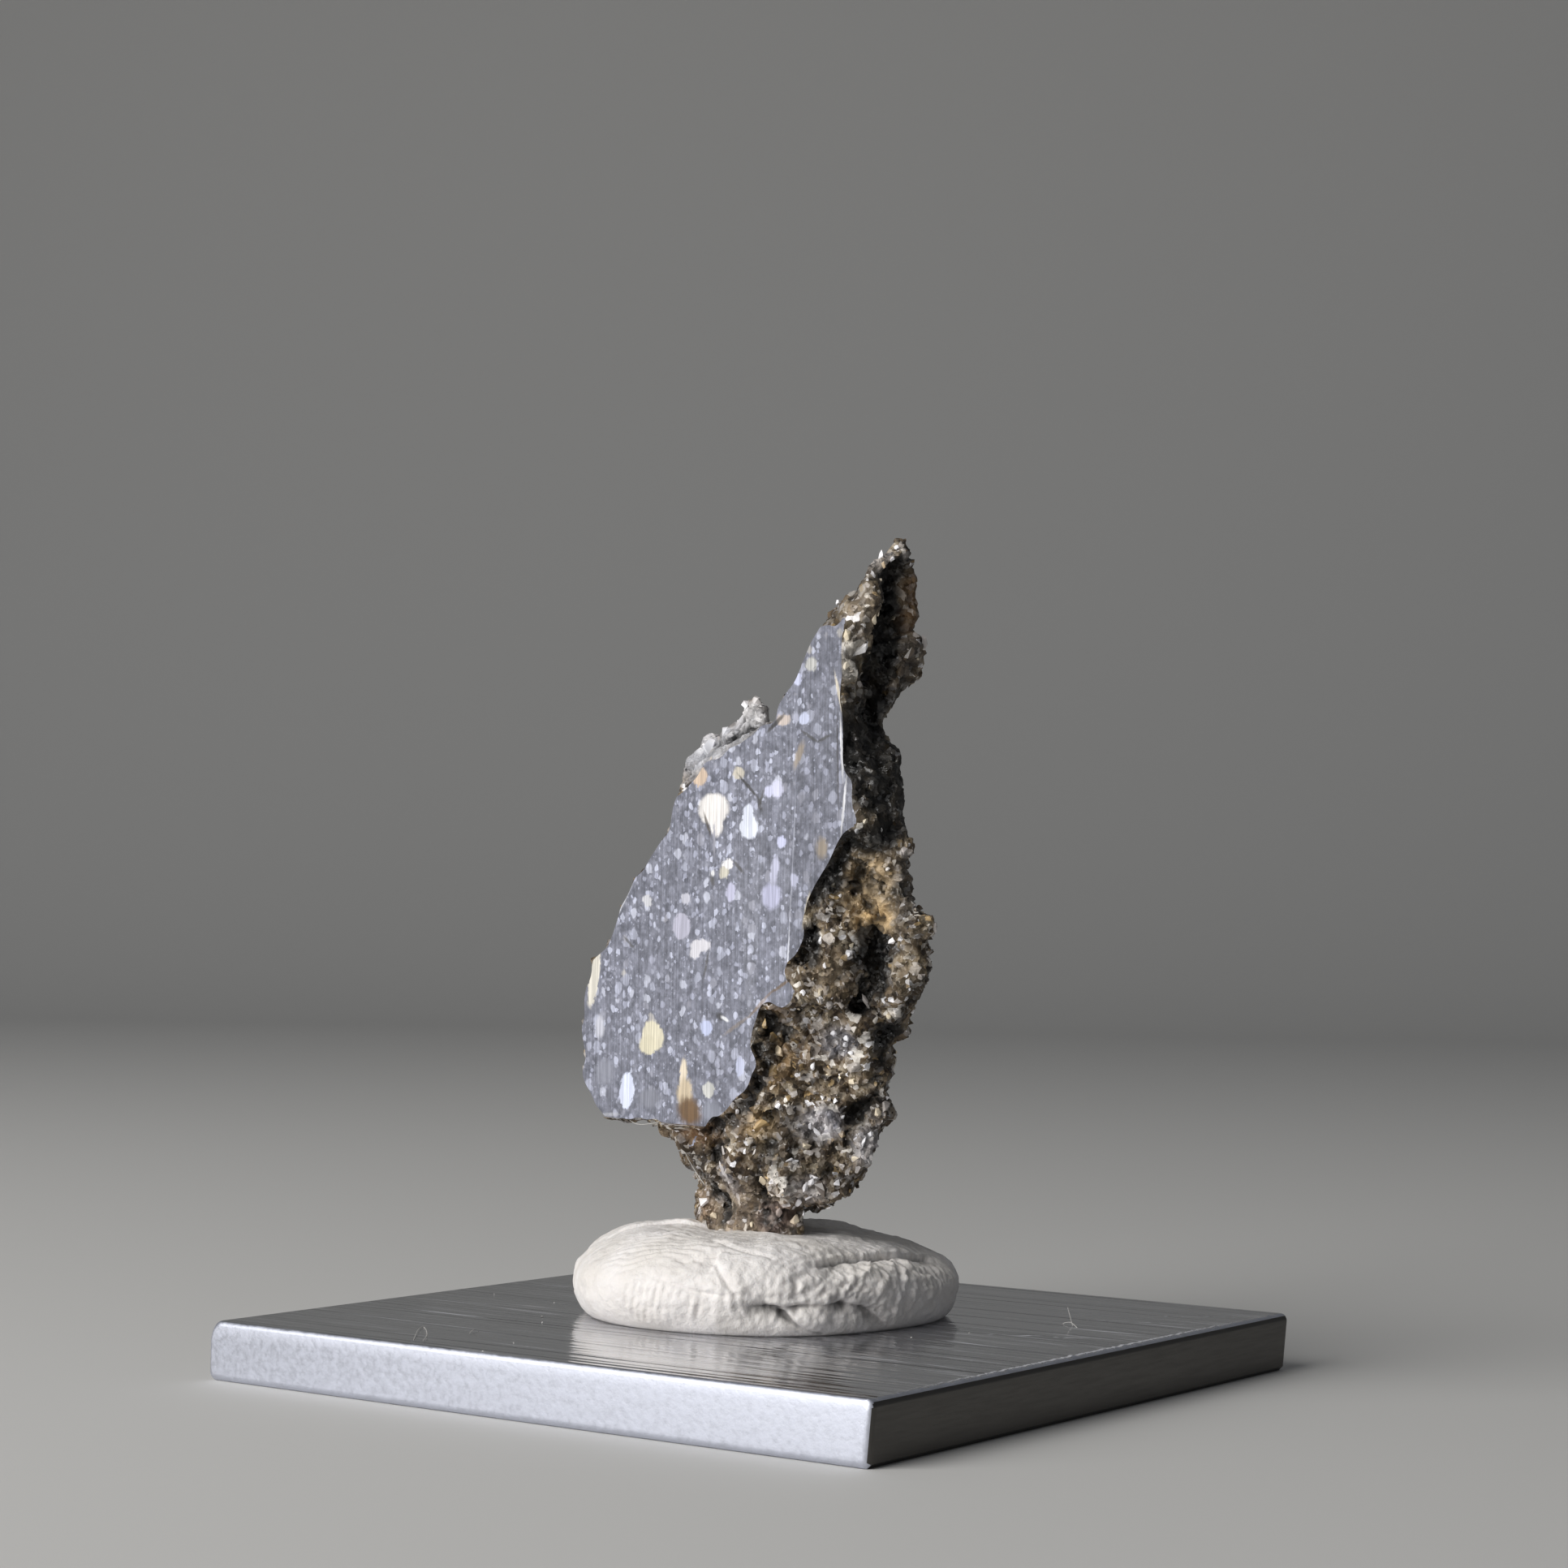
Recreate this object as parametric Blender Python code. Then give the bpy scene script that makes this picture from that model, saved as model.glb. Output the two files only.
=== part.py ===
"""A lunar meteorite end cut, its foot pressed into a lump of putty on a square aluminium plate.

The stone is one solid: a loft of level outlines, roughened, then parted by one flat saw cut.
Shapes are worked out in millimetres, and each finished mesh is scaled to metres.
The origin is the centre of the plate's underside, +Z is up, and X runs along the plate's brushed grain.
"""

import math

import bmesh
import bpy
from mathutils import Matrix, Vector, noise

MM = 0.001

# Plate
PLATE_SIDE = 40.0
PLATE_THICKNESS = 3.0
PLATE_LEFT_ROUND = (0.7, 1.1)
PLATE_CORNER_ROUND = 0.35
PLATE_UNDERCUT_DEGREES = 4.0
PLATE_END_BEVEL = 0.18

# Clearance kept between touching solids
GAP = 0.3

# Putty: a pressed disc, fuller at one end of its long fall than at the other
PUTTY_CENTRE = (-0.95, 1.0)
PUTTY_FALL_DEGREES = 35.3
PUTTY_FOOT_RADIUS = 9.0
PUTTY_RADIUS = 10.05
PUTTY_SHOULDER = 3.6
PUTTY_WIDEST_HEIGHT = 4.9
PUTTY_TOP = 7.5
PUTTY_LIP_RISE = 0.2
PUTTY_HUMP_RISE = 0.35
PUTTY_FULL_END_FALL = 0.9
PUTTY_THIN_END_FALL = 1.1
PUTTY_BACK_FALL = 1.0
PUTTY_SIDES = 52
PUTTY_WOBBLE = [(3, 0.018, 0.8), (5, 0.012, 2.1)]

# The foot's socket: how much larger it is than the foot all round, and the heights of its outlines
SOCKET_CLEARANCE = 0.42
SOCKET_LEVELS = (5.4, 5.7, 6.6, 7.4, 8.6, 10.0)
SOCKET_SIDES = 36
FOOT_TOP = 8.6

# Stone: where its foot stands, and how far its saw face is turned from the plate's front edge
STONE_CENTRE = (-1.45, 0.65)
STONE_TURN_DEGREES = -14.7
SAW_DEPTH = -3.3
SAW_REACH = 40.0
STONE_BOTTOM = 5.7
STONE_TOP = 43.2
RING_STEP = 0.3
RING_POINTS = 72
STONE_VOXEL = 0.64

# Stone outlines by height. Across runs to the right along the saw face, depth runs behind it.
# The left edge, the saw face's right edge and the ridge of the natural side are (height, across, depth)
LEFT_EDGE = [
    (5.7, -3.6, 0.0), (7.2, -4.5, 0.0), (8.2, -4.6, 0.0), (8.8, -4.3, 0.0), (9.3, -3.7, -0.2),
    (10.0, -4.2, -0.5), (10.8, -4.5, -0.8), (11.7, -4.7, -1.2), (12.5, -5.1, -1.8), (12.8, -5.4, -2.6),
    (12.9, -8.2, -3.3), (13.5, -9.1, -3.3), (14.2, -9.7, -3.3), (15.2, -10.4, -3.3), (16.8, -10.5, -3.3),
    (17.5, -10.9, -3.3), (18.7, -10.6, -3.3), (20.0, -10.1, -3.3), (21.2, -9.9, -3.3), (21.9, -8.8, -3.3),
    (22.7, -7.9, -3.3), (24.1, -7.5, -3.3), (25.0, -6.8, -3.3), (25.7, -6.2, -3.3), (26.4, -5.0, -3.3),
    (27.3, -4.2, -3.3), (28.3, -3.2, -3.3), (29.5, -3.2, -2.8), (30.4, -3.5, -2.2), (31.4, -3.5, -1.8),
    (32.5, -3.1, -1.5), (32.9, -2.9, -1.4), (33.2, -1.8, -1.4), (33.4, -0.7, -1.4), (33.5, 5.0, -3.0),
    (34.3, 5.7, -3.3), (35.2, 6.2, -3.3), (36.7, 7.6, -3.3), (37.9, 8.6, -3.3), (38.4, 8.4, -2.7),
    (38.9, 8.6, -2.2), (39.1, 9.1, -2.0), (39.6, 9.9, -1.6), (40.4, 9.8, -1.1), (40.9, 9.9, -0.8),
    (41.2, 10.0, -0.4), (41.9, 9.8, 0.1), (42.6, 9.6, 0.5), (43.2, 9.7, 0.8),
]
RIGHT_EDGE = [
    (5.7, 2.0, -2.0), (7.2, 2.9, -1.6), (8.4, 3.0, -1.5), (9.2, 3.4, -1.7), (10.0, 4.3, -2.0),
    (11.2, 4.6, -2.3), (12.3, 2.8, -2.9), (12.9, 1.6, -3.3), (13.9, 2.5, -3.3), (14.8, 3.3, -3.3),
    (15.5, 3.6, -3.3), (16.2, 4.2, -3.3), (17.1, 3.9, -3.3), (18.3, 4.5, -3.3), (19.0, 4.8, -3.3),
    (19.4, 6.7, -3.3), (20.2, 7.0, -3.3), (20.9, 6.6, -3.3), (21.7, 7.4, -3.3), (22.7, 7.9, -3.3),
    (24.1, 7.7, -3.3), (25.4, 9.2, -3.3), (26.9, 10.3, -3.3), (27.5, 10.8, -3.3), (28.4, 11.2, -3.3),
    (29.7, 11.0, -3.3), (30.4, 11.3, -3.3), (32.3, 11.0, -3.3), (34.6, 10.7, -3.3), (35.3, 10.3, -3.3),
    (36.7, 10.1, -3.3), (37.3, 10.3, -3.3), (38.2, 10.5, -3.0), (39.2, 11.3, -2.2), (40.4, 11.3, -1.6),
    (41.5, 11.4, -0.9), (42.2, 11.1, -0.2), (42.7, 10.5, 0.4), (43.2, 10.1, 0.6),
]
RIGHT_RIDGE = [
    (5.7, 3.2, 0.2), (7.6, 4.1, 0.2), (8.9, 4.2, 0.3), (9.2, 5.3, 0.4), (9.7, 6.4, 0.5), (10.4, 7.8, 0.6),
    (11.2, 8.2, 0.8), (12.1, 8.5, 1.0), (12.9, 8.8, 1.2), (13.6, 9.0, 1.5), (14.5, 9.1, 1.5),
    (15.4, 8.8, 1.5), (16.8, 8.8, 1.5), (17.6, 9.3, 1.2), (18.1, 10.0, 1.0), (19.2, 11.1, 0.8),
    (20.3, 12.0, 0.6), (21.2, 12.5, 0.6), (22.6, 12.6, 0.4), (23.1, 13.0, 0.4), (23.5, 12.9, 0.3),
    (24.0, 12.3, 0.0), (25.4, 12.0, -0.4), (27.4, 12.5, -0.6), (28.3, 12.2, -0.6), (29.0, 11.9, -0.6),
    (30.6, 11.6, -0.4), (31.5, 11.2, -0.2), (32.1, 10.5, 0.0), (32.8, 9.8, 0.3), (33.6, 9.8, 0.5),
    (34.2, 10.0, 0.8), (35.2, 10.4, 1.0), (36.4, 10.9, 1.4), (37.2, 11.1, 1.6), (37.7, 11.0, 1.6),
    (38.1, 10.2, 1.5), (39.1, 10.4, 1.5), (40.3, 10.6, 1.4), (41.4, 11.1, 1.2), (42.0, 11.2, 1.0),
    (42.5, 10.8, 1.0), (43.2, 10.1, 1.0),
]
# How far forward the stone reached before it was sawn, with the share of its width that its corners take
FRONT = [
    (5.7, -2.0, 0.42), (7.2, -2.3, 0.42), (9.0, -2.3, 0.42), (10.5, -2.8, 0.4), (12.2, -3.3, 0.38),
    (12.9, -4.4, 0.25), (14.0, -5.2, 0.2), (36.5, -4.6, 0.2), (38.0, -3.6, 0.3), (39.2, -2.6, 0.42),
    (40.5, -1.9, 0.42), (42.0, -0.7, 0.42), (43.2, 0.5, 0.4),
]
# The back of the stone: (height, depth)
BACK = [
    (5.7, 2.2), (8.0, 2.7), (9.2, 3.0), (11.0, 4.1), (14.0, 4.9), (18.0, 5.0), (21.0, 4.4), (24.0, 3.6),
    (27.0, 2.9), (30.0, 2.5), (33.0, 2.6), (36.0, 3.1), (38.0, 3.3), (40.0, 3.0), (41.8, 2.3), (43.2, 1.2),
]

# The corner between the saw face and the ridge, as a share of the way, and how the ridge rounds to the back
SIDE_CORNER = 0.65
SHOULDER_SHARE = 0.6
SHOULDER_RUN = (0.4, 1.4)
# Corners of the stone's back: (share of its width from the left, share of the back's depth)
BACK_CORNERS = [(0.55, 1.0), (0.15, 0.8), (0.02, 0.35)]

# Lumps (positive) and hollows (negative) of the natural crust: (across, depth, height), radius, push
CRUST_MARKS = [
    # Two lobes with a deep cleft between them, half way up the natural side
    ((8.4, -2.1, 21.2), 1.5, 0.7),
    ((12.0, -0.5, 20.8), 1.2, 0.5),
    ((10.8, -1.1, 22.5), 0.7, -1.0),
    ((10.4, -1.0, 21.5), 0.65, -1.1),
    ((9.9, -0.9, 20.5), 0.65, -1.1),
    ((9.3, -0.9, 19.4), 0.65, -0.9),
    # The hollow above them, between a ledge over it and a ledge under it
    ((10.5, -2.0, 25.7), 1.1, -0.9),
    ((10.8, -1.4, 24.4), 0.9, -0.6),
    ((11.2, -2.3, 28.0), 0.9, 0.5),
    ((12.4, 0.0, 23.1), 0.7, 0.6),
    ((11.2, -1.2, 23.2), 0.6, 0.4),
    # The channel that runs down the spire, between its left ridge and the knob
    ((11.2, -0.6, 40.4), 0.7, -0.6),
    ((10.7, -0.7, 38.9), 0.8, -0.8),
    ((10.5, -0.8, 37.4), 0.8, -0.8),
    ((10.4, -0.9, 35.8), 0.8, -0.8),
    ((10.2, -0.6, 34.2), 0.8, -0.6),
    ((10.8, -2.9, 38.0), 0.8, 0.4),
    ((11.0, 0.8, 36.8), 0.7, 0.5),
    # Swells of the dark wall under the spire
    ((11.6, -2.2, 29.7), 0.8, 0.35),
    ((10.6, -1.2, 31.0), 0.8, -0.4),
    # The undercut and the lip low on the natural side
    ((9.4, 1.0, 17.6), 0.8, -0.6),
    ((8.9, 1.0, 14.0), 0.8, 0.5),
    ((5.2, -2.4, 17.4), 1.0, -0.5),
    ((7.2, -1.0, 15.8), 1.5, 0.4),
    # The foot
    ((1.2, -2.6, 11.0), 1.2, 0.35),
    ((-2.0, -2.0, 9.9), 0.7, -0.4),
    ((-1.4, -2.2, 8.8), 0.8, 0.35),
    # Broad pits and swells on the back
    ((-4.0, 3.9, 19.0), 2.6, -0.9),
    ((3.0, 4.6, 14.5), 2.4, -0.7),
    ((6.0, 3.6, 24.5), 2.2, -0.8),
    ((0.0, 3.4, 25.5), 1.8, 0.5),
    ((-8.4, 1.2, 16.5), 1.8, -0.6),
    ((8.4, 3.0, 34.0), 1.4, -0.5),
]

# The crag on the left shoulder and the broken chip in front of it
CRAG_PEAK = (1.8, -1.6, 35.1)
CRAG_SIZE = (2.5, 1.5, 2.9)
CHIP_LINE = ((-3.2, 29.6), (-0.6, 31.3), (5.2, 33.7))
CHIP_SLOPE = 0.75
CHIP_REACH = 4.0
CHIP_THICKNESS = 3.0

# Relief laid over the lumps and hollows: (grain size, push, place in the noise)
CRUST_RELIEF = [(3.2, 0.5, 11.0), (1.3, 0.38, 47.0)]
PUTTY_RELIEF = [(2.6, 0.16, 5.0)]
# Both fade in over this height above where the solid meets what it stands in or on
RELIEF_FADE = 1.2

# Folds and dents of the putty, in the directions of its fall: (along, away, height), radius, push
PUTTY_MARKS = [
    # The crease with a flap of putty folded up under it
    ((-0.2, -10.0, 4.8), 0.8, -0.35),
    ((2.0, -9.8, 4.9), 0.8, -0.35),
    ((4.0, -9.0, 4.6), 0.8, -0.3),
    ((5.6, -8.2, 4.0), 0.8, -0.3),
    ((2.6, -9.6, 4.0), 1.1, 0.35),
    # Drags of the fingers towards the thin end
    ((3.4, -8.6, 6.6), 1.0, -0.25),
    ((6.0, -7.6, 6.0), 1.2, 0.3),
    ((8.6, -3.8, 5.4), 1.3, -0.25),
    ((-5.0, -8.4, 5.0), 1.8, 0.15),
]


def interpolate(profile, height):
    """The profile's values at a height, in straight runs between its points."""
    if height <= profile[0][0]:
        return profile[0][1:]
    for low, high in zip(profile, profile[1:]):
        if height <= high[0]:
            share = (height - low[0]) / (high[0] - low[0])
            return tuple(a + (b - a) * share for a, b in zip(low[1:], high[1:]))
    return profile[-1][1:]


def closed_curve(points, count):
    """A closed Catmull-Rom curve through the points, as count points."""
    total = len(points)
    curve = []
    for index in range(count):
        position = index * total / count
        start = int(position)
        t = position - start
        p0, p1, p2, p3 = (Vector(points[(start + k) % total]) for k in (-1, 0, 1, 2))
        bend = (2 * p1 + (p2 - p0) * t + (2 * p0 - 5 * p1 + 4 * p2 - p3) * t ** 2
                + (3 * p1 - p0 - 3 * p2 + p3) * t ** 3)
        curve.append(bend / 2)
    return curve


def stone_outline(height, count=RING_POINTS):
    """The stone's level outline before it was sawn, as (across, depth) points."""
    left, left_depth = interpolate(LEFT_EDGE, height)
    right, right_depth = interpolate(RIGHT_EDGE, height)
    ridge, ridge_depth = interpolate(RIGHT_RIDGE, height)
    front, inset = interpolate(FRONT, height)
    (back,) = interpolate(BACK, height)
    taken = inset * (right - left)
    shoulder = SHOULDER_SHARE * (back - ridge_depth)
    step, run = SHOULDER_RUN
    corners = [
        (left, left_depth),
        (left + taken, front),
        (right - taken, front),
        (right, right_depth),
        (right + SIDE_CORNER * (ridge - right), right_depth + SIDE_CORNER * (ridge_depth - right_depth)),
        (ridge, ridge_depth),
        (ridge - step - run * shoulder, ridge_depth + shoulder),
    ]
    for across, depth in BACK_CORNERS:
        corners.append((left + across * (ridge - left), left_depth + depth * (back - left_depth)))
    return closed_curve(corners, count)


def loft(rings):
    """A closed mesh through rings of points, with a fan over each end."""
    bm = bmesh.new()
    rows = [[bm.verts.new(point) for point in ring] for ring in rings]
    for lower, upper in zip(rows, rows[1:]):
        for index in range(len(lower)):
            following = (index + 1) % len(lower)
            bm.faces.new((lower[index], lower[following], upper[following], upper[index]))
    for row, flip in ((rows[0], True), (rows[-1], False)):
        hub = bm.verts.new(sum((vert.co for vert in row), Vector()) / len(row))
        for index in range(len(row)):
            pair = (row[index], row[(index + 1) % len(row)])
            bm.faces.new((hub, *(reversed(pair) if flip else pair)))
    bmesh.ops.recalc_face_normals(bm, faces=bm.faces)
    return bm


def working_object(name, bm):
    """A temporary object that holds a mesh while modifiers work on it."""
    mesh = bpy.data.meshes.new(name)
    bm.to_mesh(mesh)
    bm.free()
    obj = bpy.data.objects.new(name, mesh)
    bpy.context.scene.collection.objects.link(obj)
    return obj


def evaluated_copy(obj):
    """The mesh that an object's modifiers give, as a new plain mesh."""
    depsgraph = bpy.context.evaluated_depsgraph_get()
    depsgraph.update()
    return bpy.data.meshes.new_from_object(obj.evaluated_get(depsgraph))


def apply_modifiers(obj):
    mesh = evaluated_copy(obj)
    obj.modifiers.clear()
    obj.data = mesh


def combine(obj, other, operation="DIFFERENCE"):
    """Cuts the other solid out of the object, or joins it on, and removes the other."""
    step = obj.modifiers.new("combine", "BOOLEAN")
    step.operation = operation
    step.solver = "EXACT"
    step.object = other
    apply_modifiers(obj)
    bpy.data.objects.remove(other)


def uncut_stone():
    """The whole stone, in its own directions: X across, Y depth, Z height."""
    count = round((STONE_TOP - STONE_BOTTOM) / RING_STEP)
    rings = []
    for index in range(count + 1):
        height = STONE_BOTTOM + (STONE_TOP - STONE_BOTTOM) * index / count
        rings.append([Vector((across, depth, height)) for across, depth in stone_outline(height)])
    return working_object("stone_work", loft(rings))


def crag():
    """The small peak on the stone's left shoulder."""
    bm = bmesh.new()
    place = Matrix.Translation(Vector(CRAG_PEAK) - Vector((0, 0, CRAG_SIZE[2] / 2)))
    bmesh.ops.create_cone(bm, cap_ends=True, segments=12, radius1=1, radius2=0.06, depth=1,
                          matrix=place @ Matrix.Diagonal((*CRAG_SIZE, 1)))
    return working_object("crag_work", bm)


def chip_cutter():
    """A wedge that takes the broken shoulder back from the saw face, along the chip line."""
    bm = bmesh.new()
    front = SAW_DEPTH - CHIP_THICKNESS
    back = SAW_DEPTH + CHIP_SLOPE * CHIP_REACH
    sections = []
    for across, height in CHIP_LINE:
        top = height + CHIP_REACH
        profile = [(front, height), (SAW_DEPTH, height), (back, top), (front, top)]
        sections.append([bm.verts.new((across, depth, z)) for depth, z in profile])
    for first, second in zip(sections, sections[1:]):
        for index in range(4):
            following = (index + 1) % 4
            bm.faces.new((first[index], first[following], second[following], second[index]))
    bm.faces.new(sections[0])
    bm.faces.new(sections[-1])
    bmesh.ops.recalc_face_normals(bm, faces=bm.faces)
    return working_object("chip_work", bm)


def roughen(mesh, marks, relief, smooth_below):
    """Pushes marks and relief along each vertex's normal, and leaves what is below a height as it is."""
    moved = []
    for vert in mesh.vertices:
        push = 0.0
        for centre, radius, height in marks:
            reach = (vert.co - Vector(centre)).length / radius
            push += height * math.exp(-reach * reach)
        for size, height, seed in relief:
            push += height * noise.noise(vert.co / size + Vector((seed, 0, 0)))
        strength = min(1.0, max(0.0, (vert.co.z - smooth_below) / RELIEF_FADE))
        moved.append(vert.co + vert.normal * push * strength)
    for vert, place in zip(mesh.vertices, moved):
        vert.co = place


def saw_cutter():
    """A block in front of the saw face, wider and taller than the stone."""
    bm = bmesh.new()
    size = Matrix.Scale(2 * SAW_REACH, 4)
    place = Matrix.Translation((0, SAW_DEPTH - SAW_REACH, SAW_REACH / 2))
    bmesh.ops.create_cube(bm, size=1, matrix=place @ size)
    return working_object("saw_work", bm)


def publish(name, mesh, finish, placing=Matrix.Identity(4)):
    """Scales a finished mesh to metres, gives it its material, and links it as a node."""
    bm = bmesh.new()
    bm.from_mesh(mesh)
    bmesh.ops.transform(bm, matrix=Matrix.Scale(MM, 4) @ placing, verts=bm.verts)
    bmesh.ops.triangulate(bm, faces=bm.faces)
    result = bpy.data.meshes.new(name)
    bm.to_mesh(result)
    bm.free()
    result.materials.append(finish)
    result.shade_smooth()
    result.set_sharp_from_angle(angle=math.radians(35))
    obj = bpy.data.objects.new(name, result)
    bpy.context.scene.collection.objects.link(obj)
    return obj


def material(name, colour, roughness, metallic=0.0):
    made = bpy.data.materials.new(name)
    made.use_nodes = True
    shader = made.node_tree.nodes["Principled BSDF"]
    shader.inputs["Base Color"].default_value = (*colour, 1)
    shader.inputs["Roughness"].default_value = roughness
    shader.inputs["Metallic"].default_value = metallic
    return made


def stone_placing():
    return (Matrix.Translation((*STONE_CENTRE, 0))
            @ Matrix.Rotation(math.radians(STONE_TURN_DEGREES), 4, "Z"))


def build_stone():
    stone = uncut_stone()
    combine(stone, crag(), "UNION")
    combine(stone, chip_cutter())
    remesh = stone.modifiers.new("even faces", "REMESH")
    remesh.mode = "VOXEL"
    remesh.voxel_size = STONE_VOXEL
    apply_modifiers(stone)
    roughen(stone.data, CRUST_MARKS, CRUST_RELIEF, PUTTY_TOP)
    combine(stone, saw_cutter())
    crust = material("feldspathic_breccia", (0.21, 0.19, 0.17), 0.7)
    publish("meteorite", stone.data, crust, stone_placing())
    bpy.data.objects.remove(stone)


def putty_placing():
    return (Matrix.Translation((*PUTTY_CENTRE, 0))
            @ Matrix.Rotation(math.radians(PUTTY_FALL_DEGREES), 4, "Z"))


def putty_top(along, away):
    """The putty's top height: a raised lip at its full end, a hump behind the foot, and its falls."""
    lip = PUTTY_LIP_RISE * math.exp(-((along + 5.2) / 2.2) ** 2 - ((away - 1.0) / 4.0) ** 2)
    hump = PUTTY_HUMP_RISE * math.exp(-((along - 3.5) / 2.6) ** 2 - ((away - 4.5) / 2.6) ** 2)
    thin_fall = PUTTY_THIN_END_FALL * max(0.0, along / PUTTY_RADIUS) ** 1.5
    full_fall = PUTTY_FULL_END_FALL * max(0.0, -along / PUTTY_RADIUS) ** 3
    back_fall = PUTTY_BACK_FALL * max(0.0, away / PUTTY_RADIUS) ** 2
    return PUTTY_TOP + lip + hump - thin_fall - full_fall - back_fall


def putty_profile():
    """The putty's section as (radius, height, share of the way up to the top), from the plate to the hub."""
    bottom = PLATE_THICKNESS + GAP
    profile = []
    for share in (0.0, 0.25, 0.5, 0.75, 1.0):
        angle = (share - 1) * math.pi / 2
        radius = PUTTY_FOOT_RADIUS + (PUTTY_RADIUS - PUTTY_FOOT_RADIUS) * math.cos(angle)
        profile.append((radius, PUTTY_WIDEST_HEIGHT + (PUTTY_WIDEST_HEIGHT - bottom) * math.sin(angle), 0))
    for share in (0.14, 0.28, 0.42, 0.56, 0.7, 0.84, 1.0):
        angle = share * math.pi / 2
        radius = PUTTY_RADIUS - PUTTY_SHOULDER * (1 - math.cos(angle))
        profile.append((radius, PUTTY_WIDEST_HEIGHT, math.sin(angle)))
    for share in (0.75, 0.45):
        profile.append(((PUTTY_RADIUS - PUTTY_SHOULDER) * share, PUTTY_WIDEST_HEIGHT, 1))
    return profile


def build_putty():
    surface = []
    for radius, height, blend in putty_profile():
        ring = []
        for index in range(PUTTY_SIDES):
            angle = 2 * math.pi * index / PUTTY_SIDES
            wobble = 1 + sum(size * math.sin(waves * angle + start) for waves, size, start in PUTTY_WOBBLE)
            along = radius * wobble * math.cos(angle)
            away = radius * wobble * math.sin(angle)
            ring.append(Vector((along, away, height + (putty_top(along, away) - height) * blend)))
        surface.append(ring)
    putty = working_object("putty_work", loft(surface))
    roughen(putty.data, PUTTY_MARKS, PUTTY_RELIEF, PLATE_THICKNESS + GAP)
    putty.data.transform(putty_placing())
    combine(putty, socket_cutter())
    publish("mounting_putty", putty.data, material("mounting_putty", (0.80, 0.78, 0.75), 0.55))
    bpy.data.objects.remove(putty)


def socket_cutter():
    """The stone's foot, a clearance larger all round, to cut its socket in the putty."""
    rings = []
    for height in SOCKET_LEVELS:
        outline = stone_outline(min(height, FOOT_TOP), SOCKET_SIDES)
        hub = sum(outline, Vector((0, 0))) / len(outline)
        ring = []
        for point in outline:
            wider = point + (point - hub).normalized() * SOCKET_CLEARANCE
            ring.append(Vector((*wider, height)))
        rings.append(ring)
    socket = working_object("socket_work", loft(rings))
    socket.data.transform(stone_placing())
    return socket


def plate_section():
    """The plate's section across X: rounded left edge, undercut right edge."""
    half = PLATE_SIDE / 2
    top = PLATE_THICKNESS
    lean = top * math.tan(math.radians(PLATE_UNDERCUT_DEGREES))
    wide, tall = PLATE_LEFT_ROUND
    small = PLATE_CORNER_ROUND
    quarter = [k * math.pi / 8 for k in range(5)]
    points = [(-half + wide * (1 - math.sin(t)), top - tall * (1 - math.cos(t))) for t in reversed(quarter)]
    points += [(half - small * (1 - math.sin(t)), top - small * (1 - math.cos(t))) for t in quarter]
    points += [(half - lean, small * 0.6), (half - lean - small * 0.6, 0)]
    points += [(-half + small * (1 - math.sin(t)), small * (1 - math.cos(t))) for t in quarter]
    return points


def build_plate():
    bm = bmesh.new()
    half = PLATE_SIDE / 2
    section = bm.faces.new([bm.verts.new((x, -half, z)) for x, z in plate_section()])
    swept = bmesh.ops.extrude_face_region(bm, geom=[section])
    moved = [item for item in swept["geom"] if isinstance(item, bmesh.types.BMVert)]
    bmesh.ops.translate(bm, vec=(0, PLATE_SIDE, 0), verts=moved)
    bmesh.ops.recalc_face_normals(bm, faces=bm.faces)
    rim = [edge for edge in bm.edges if abs(abs(edge.verts[0].co.y) - half) < 1e-4
           and abs(edge.verts[0].co.y - edge.verts[1].co.y) < 1e-4]
    bmesh.ops.bevel(bm, geom=rim, offset=PLATE_END_BEVEL, segments=1, affect="EDGES")
    plate = working_object("plate_work", bm)
    publish("base_plate", plate.data, material("brushed_aluminium", (0.70, 0.71, 0.72), 0.32, 1.0))
    bpy.data.objects.remove(plate)


def main():
    for obj in list(bpy.data.objects):
        bpy.data.objects.remove(obj)
    build_plate()
    build_putty()
    build_stone()


main()
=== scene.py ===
"""Looks of a lunar meteorite end cut, its foot pressed into mounting putty on a square aluminium plate.

Shapes are worked out in millimetres and scaled to metres when a piece is finished.
The stone has directions of its own: across runs to the right along the saw face, depth runs behind it.
"""

import math

import bmesh
import bpy
import numpy as np
from mathutils import Matrix, Vector, kdtree, noise
from mathutils.bvhtree import BVHTree


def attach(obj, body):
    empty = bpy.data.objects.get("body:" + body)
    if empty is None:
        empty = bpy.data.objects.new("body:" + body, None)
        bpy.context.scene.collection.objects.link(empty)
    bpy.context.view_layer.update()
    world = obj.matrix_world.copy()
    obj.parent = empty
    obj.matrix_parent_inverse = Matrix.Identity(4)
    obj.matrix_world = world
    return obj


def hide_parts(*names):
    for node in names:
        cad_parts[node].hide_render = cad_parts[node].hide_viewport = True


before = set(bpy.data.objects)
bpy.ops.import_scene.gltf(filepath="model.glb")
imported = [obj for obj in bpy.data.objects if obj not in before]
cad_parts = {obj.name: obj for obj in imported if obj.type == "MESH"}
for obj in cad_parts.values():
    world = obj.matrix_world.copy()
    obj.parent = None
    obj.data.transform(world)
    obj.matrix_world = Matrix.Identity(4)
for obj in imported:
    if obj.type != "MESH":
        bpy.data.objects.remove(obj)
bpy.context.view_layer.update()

MM = 0.001
UP = Vector((0, 0, 1))

# Edges sharper than these angles stay crisp
STONE_SHARP_DEGREES = 45
PUTTY_SHARP_DEGREES = 180
PLATE_SHARP_DEGREES = 30

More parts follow.
